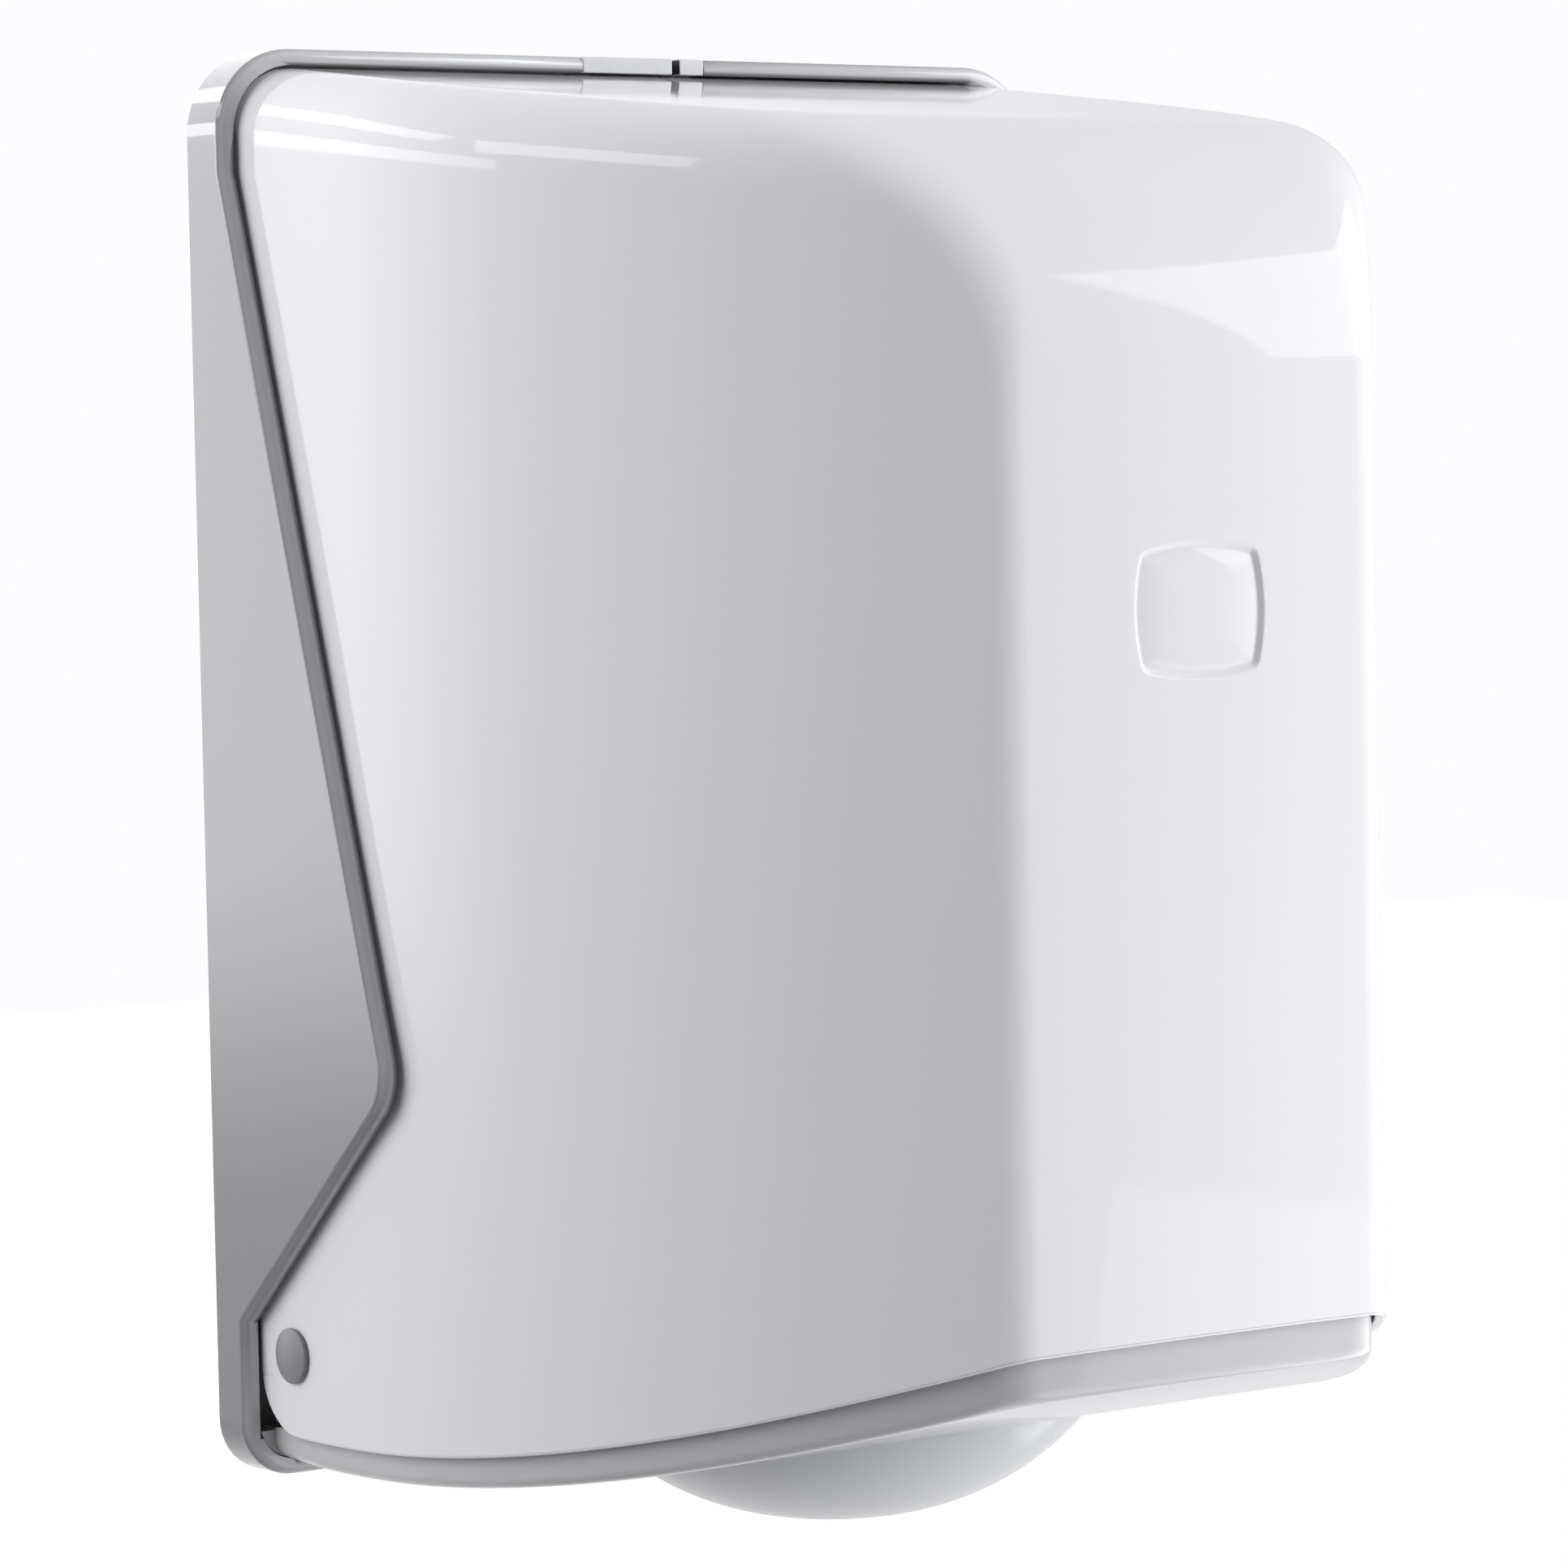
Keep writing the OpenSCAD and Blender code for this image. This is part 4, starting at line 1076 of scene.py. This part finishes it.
def makeSpring():
    low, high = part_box("latch_spring")
    wire = spring["wire"] / 2
    coil = (high.x - low.x) / 2 / mm - wire
    middle = -(low.y + high.y) / 2 / mm
    foot = (low.z - footZ) / mm + wire
    rise = (high.z - low.z) / mm - 2 * wire
    count = spring["turns"] * spring["rings"]
    rows = []
    for k in range(count + 1):
        turn = 2 * math.pi * k / spring["rings"]
        row = []
        for i in range(spring["sides"] + 1):
            roll = 2 * math.pi * i / spring["sides"]
            reach = coil + wire * math.cos(roll)
            row.append((reach * math.cos(turn), middle - reach * math.sin(turn),
                        foot + rise * k / count + wire * math.sin(roll)))
        rows.append(row)
    obj = gridPiece("latch_spring_coil", rows)
    merge(obj, fine["skinGap"])
    closeHoles(obj)
    smooth(obj, 50)
    place(obj, "housing", "latch_spring", springSteel)
    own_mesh(obj)


makeSpring()
print("spring made")


# light: a white room that is dark on the camera's side, with soft boxes round the object
room = {
    "colour": (0.98, 0.98, 1.0),
    # away from and towards the camera
    "bright": 0.8, "dark": 0.14, "turn": 36, "edge": (-0.7, 0.6),
    # a bright panel behind, and how much of it lights matt surfaces
    "panelTurn": 168, "panel": 1.55, "panelEdge": (0.6, 0.95), "panelFoot": (-0.13, -0.06), "panelDiffuse": 0.15,
    # shares of the light below the horizon, on the left and on the right
    "lowLeft": 0.12, "lowRight": 1.1, "lowTurn": -126, "lowSide": (-0.2, 0.5), "lowEdge": (-0.3, -0.02),
    # the floor is darker on the left, so that the bowl and the tray get their light from the right
    "floorDrop": 0.35, "floorSize": 9.0, "floorSide": (-0.5, 0.5), "floorLeft": 0.3, "floorRight": 0.82,
    "seen": 1.0,           # floor and room as the camera sees them
    "aim": (0, -0.1, 0),   # point that the soft boxes face
}
boxes = {
    # turn from the front towards the left and rise in degrees, distance, size, radiance; matt: lights matt
    # surfaces, gloss: shows in glossy ones
    "left_fill": {"turn": 104, "rise": 16, "far": 1.3, "size": (1.0, 1.0), "radiance": 3.5, "gloss": False},
    "right_fill": {"turn": -33, "rise": 8, "far": 1.7, "size": (1.4, 1.4), "radiance": 2.8, "gloss": False},
    "right_soft": {"turn": -47, "rise": 28, "far": 1.4, "size": (0.55, 0.7), "radiance": 2.9, "roll": 20,
                   "gloss": False},
    "right_panel": {"turn": -64, "rise": 21, "far": 1.4, "size": (1.2, 0.77), "radiance": 2.2, "matt": False},
    "top_fill": {"turn": -20, "rise": 72, "far": 1.3, "size": (1.0, 0.7), "radiance": 1.4, "gloss": False},
    "low_bounce": {"turn": -60, "rise": -38, "far": 0.62, "size": (0.8, 0.5), "radiance": 1.05},
    "strip_low": {"turn": 133, "rise": 12, "far": 1.6, "size": (0.9, 0.22), "radiance": 2.4, "matt": False},
    "strip_high": {"turn": 147, "rise": 31, "far": 1.6, "size": (0.9, 0.2), "radiance": 2.6, "matt": False},
    "left_panel": {"turn": 106, "rise": 30, "far": 1.4, "size": (0.7, 0.3), "radiance": 3.0, "roll": 8,
                   "matt": False},
}


def addFloor():
    bpy.ops.object.select_all(action="DESELECT")
    bpy.ops.mesh.primitive_plane_add(size=room["floorSize"], location=(0, 0, shellLow.z - room["floorDrop"]))
    floor = bpy.context.object
    floor.name = "floor"
    board = Board("pale_floor")
    across = board.part(board.place, "X") + board.noise(3.0) * 0.1
    side = board.fade(across, room["floorSide"], (0.0, 1.0), "SMOOTHSTEP")
    left, right = paint((room["floorLeft"],) * 3), paint((room["floorRight"],) * 3)
    board.set(Base_Color=board.tint(side, left, right), Roughness=0.7)
    glow = board.add("ShaderNodeEmission", {}, {"Color": (1, 1, 1, 1), "Strength": room["seen"]})
    seen = board.add("ShaderNodeLightPath", {}, {}, "Is Camera Ray")
    mixed = board.add("ShaderNodeMixShader", {}, {0: seen, 1: Wire(board, board.shader.outputs[0]), 2: glow})
    board.put(board.tree.nodes["Material Output"].inputs["Surface"], mixed)
    floor.data.materials.append(board.material)
    floor.visible_glossy = False


def addSoftBox(name, box):
    turn, rise = math.radians(box["turn"]), math.radians(box["rise"])
    away = Vector((-math.sin(turn) * math.cos(rise), -math.cos(turn) * math.cos(rise), math.sin(rise)))
    light = bpy.data.lights.new(name, "AREA")
    light.shape = "RECTANGLE"
    light.size, light.size_y = box["size"]
    light.energy = math.pi * box["radiance"] * box["size"][0] * box["size"][1]
    obj = bpy.data.objects.new(name, light)
    scene.collection.objects.link(obj)
    obj.location = Vector(room["aim"]) + away * box["far"]
    look = (-away).to_track_quat("-Z", "Y").to_matrix()
    roll = Matrix.Rotation(math.radians(box.get("roll", 0)), 3, "Z")
    obj.rotation_euler = (look @ roll).to_euler()
    obj.visible_glossy = box.get("gloss", True)
    obj.visible_diffuse = box.get("matt", True)
    obj.visible_camera = False


def addRoom():
    # the room's own light by direction; the camera sees plain white
    world = bpy.data.worlds.new("room")
    scene.world = world
    board = Board(world, "Generated")

    def toward(degrees):
        turn = math.radians(degrees)
        return board.add("ShaderNodeVectorMath", {"operation": "DOT_PRODUCT"},
                         {0: board.place, 1: (-math.sin(turn), -math.cos(turn), 0.0)}, "Value")

    def fade(value, edge, *ends):
        return board.fade(value, edge, ends, "SMOOTHSTEP")
    height = board.part(board.place, "Z")
    around = fade(toward(room["turn"]), room["edge"], room["bright"], room["dark"])
    low = fade(toward(room["lowTurn"]), room["lowSide"], room["lowLeft"], room["lowRight"])
    below = fade(height, room["lowEdge"], 1.0, 0.0)
    around = around * (1.0 + below * (low - 1.0))
    panel = fade(toward(room["panelTurn"]), room["panelEdge"], 0.0, room["panel"])
    panel = panel * fade(height, room["panelFoot"], 0.0, 1.0)
    matt = board.add("ShaderNodeLightPath", {}, {}, "Is Diffuse Ray")
    panel = panel * (1.0 - matt * (1.0 - room["panelDiffuse"]))
    share = around + panel
    seen = board.add("ShaderNodeLightPath", {}, {}, "Is Camera Ray")
    strength = share + seen * (room["seen"] - share)
    light = board.add("ShaderNodeBackground", {}, {"Color": paint(room["colour"]), "Strength": strength})
    board.put(board.tree.nodes["World Output"].inputs["Surface"], light)


addFloor()
addRoom()
for name, box in boxes.items():
    addSoftBox(name, box)
scene.view_settings.view_transform = "Standard"
print("light set")
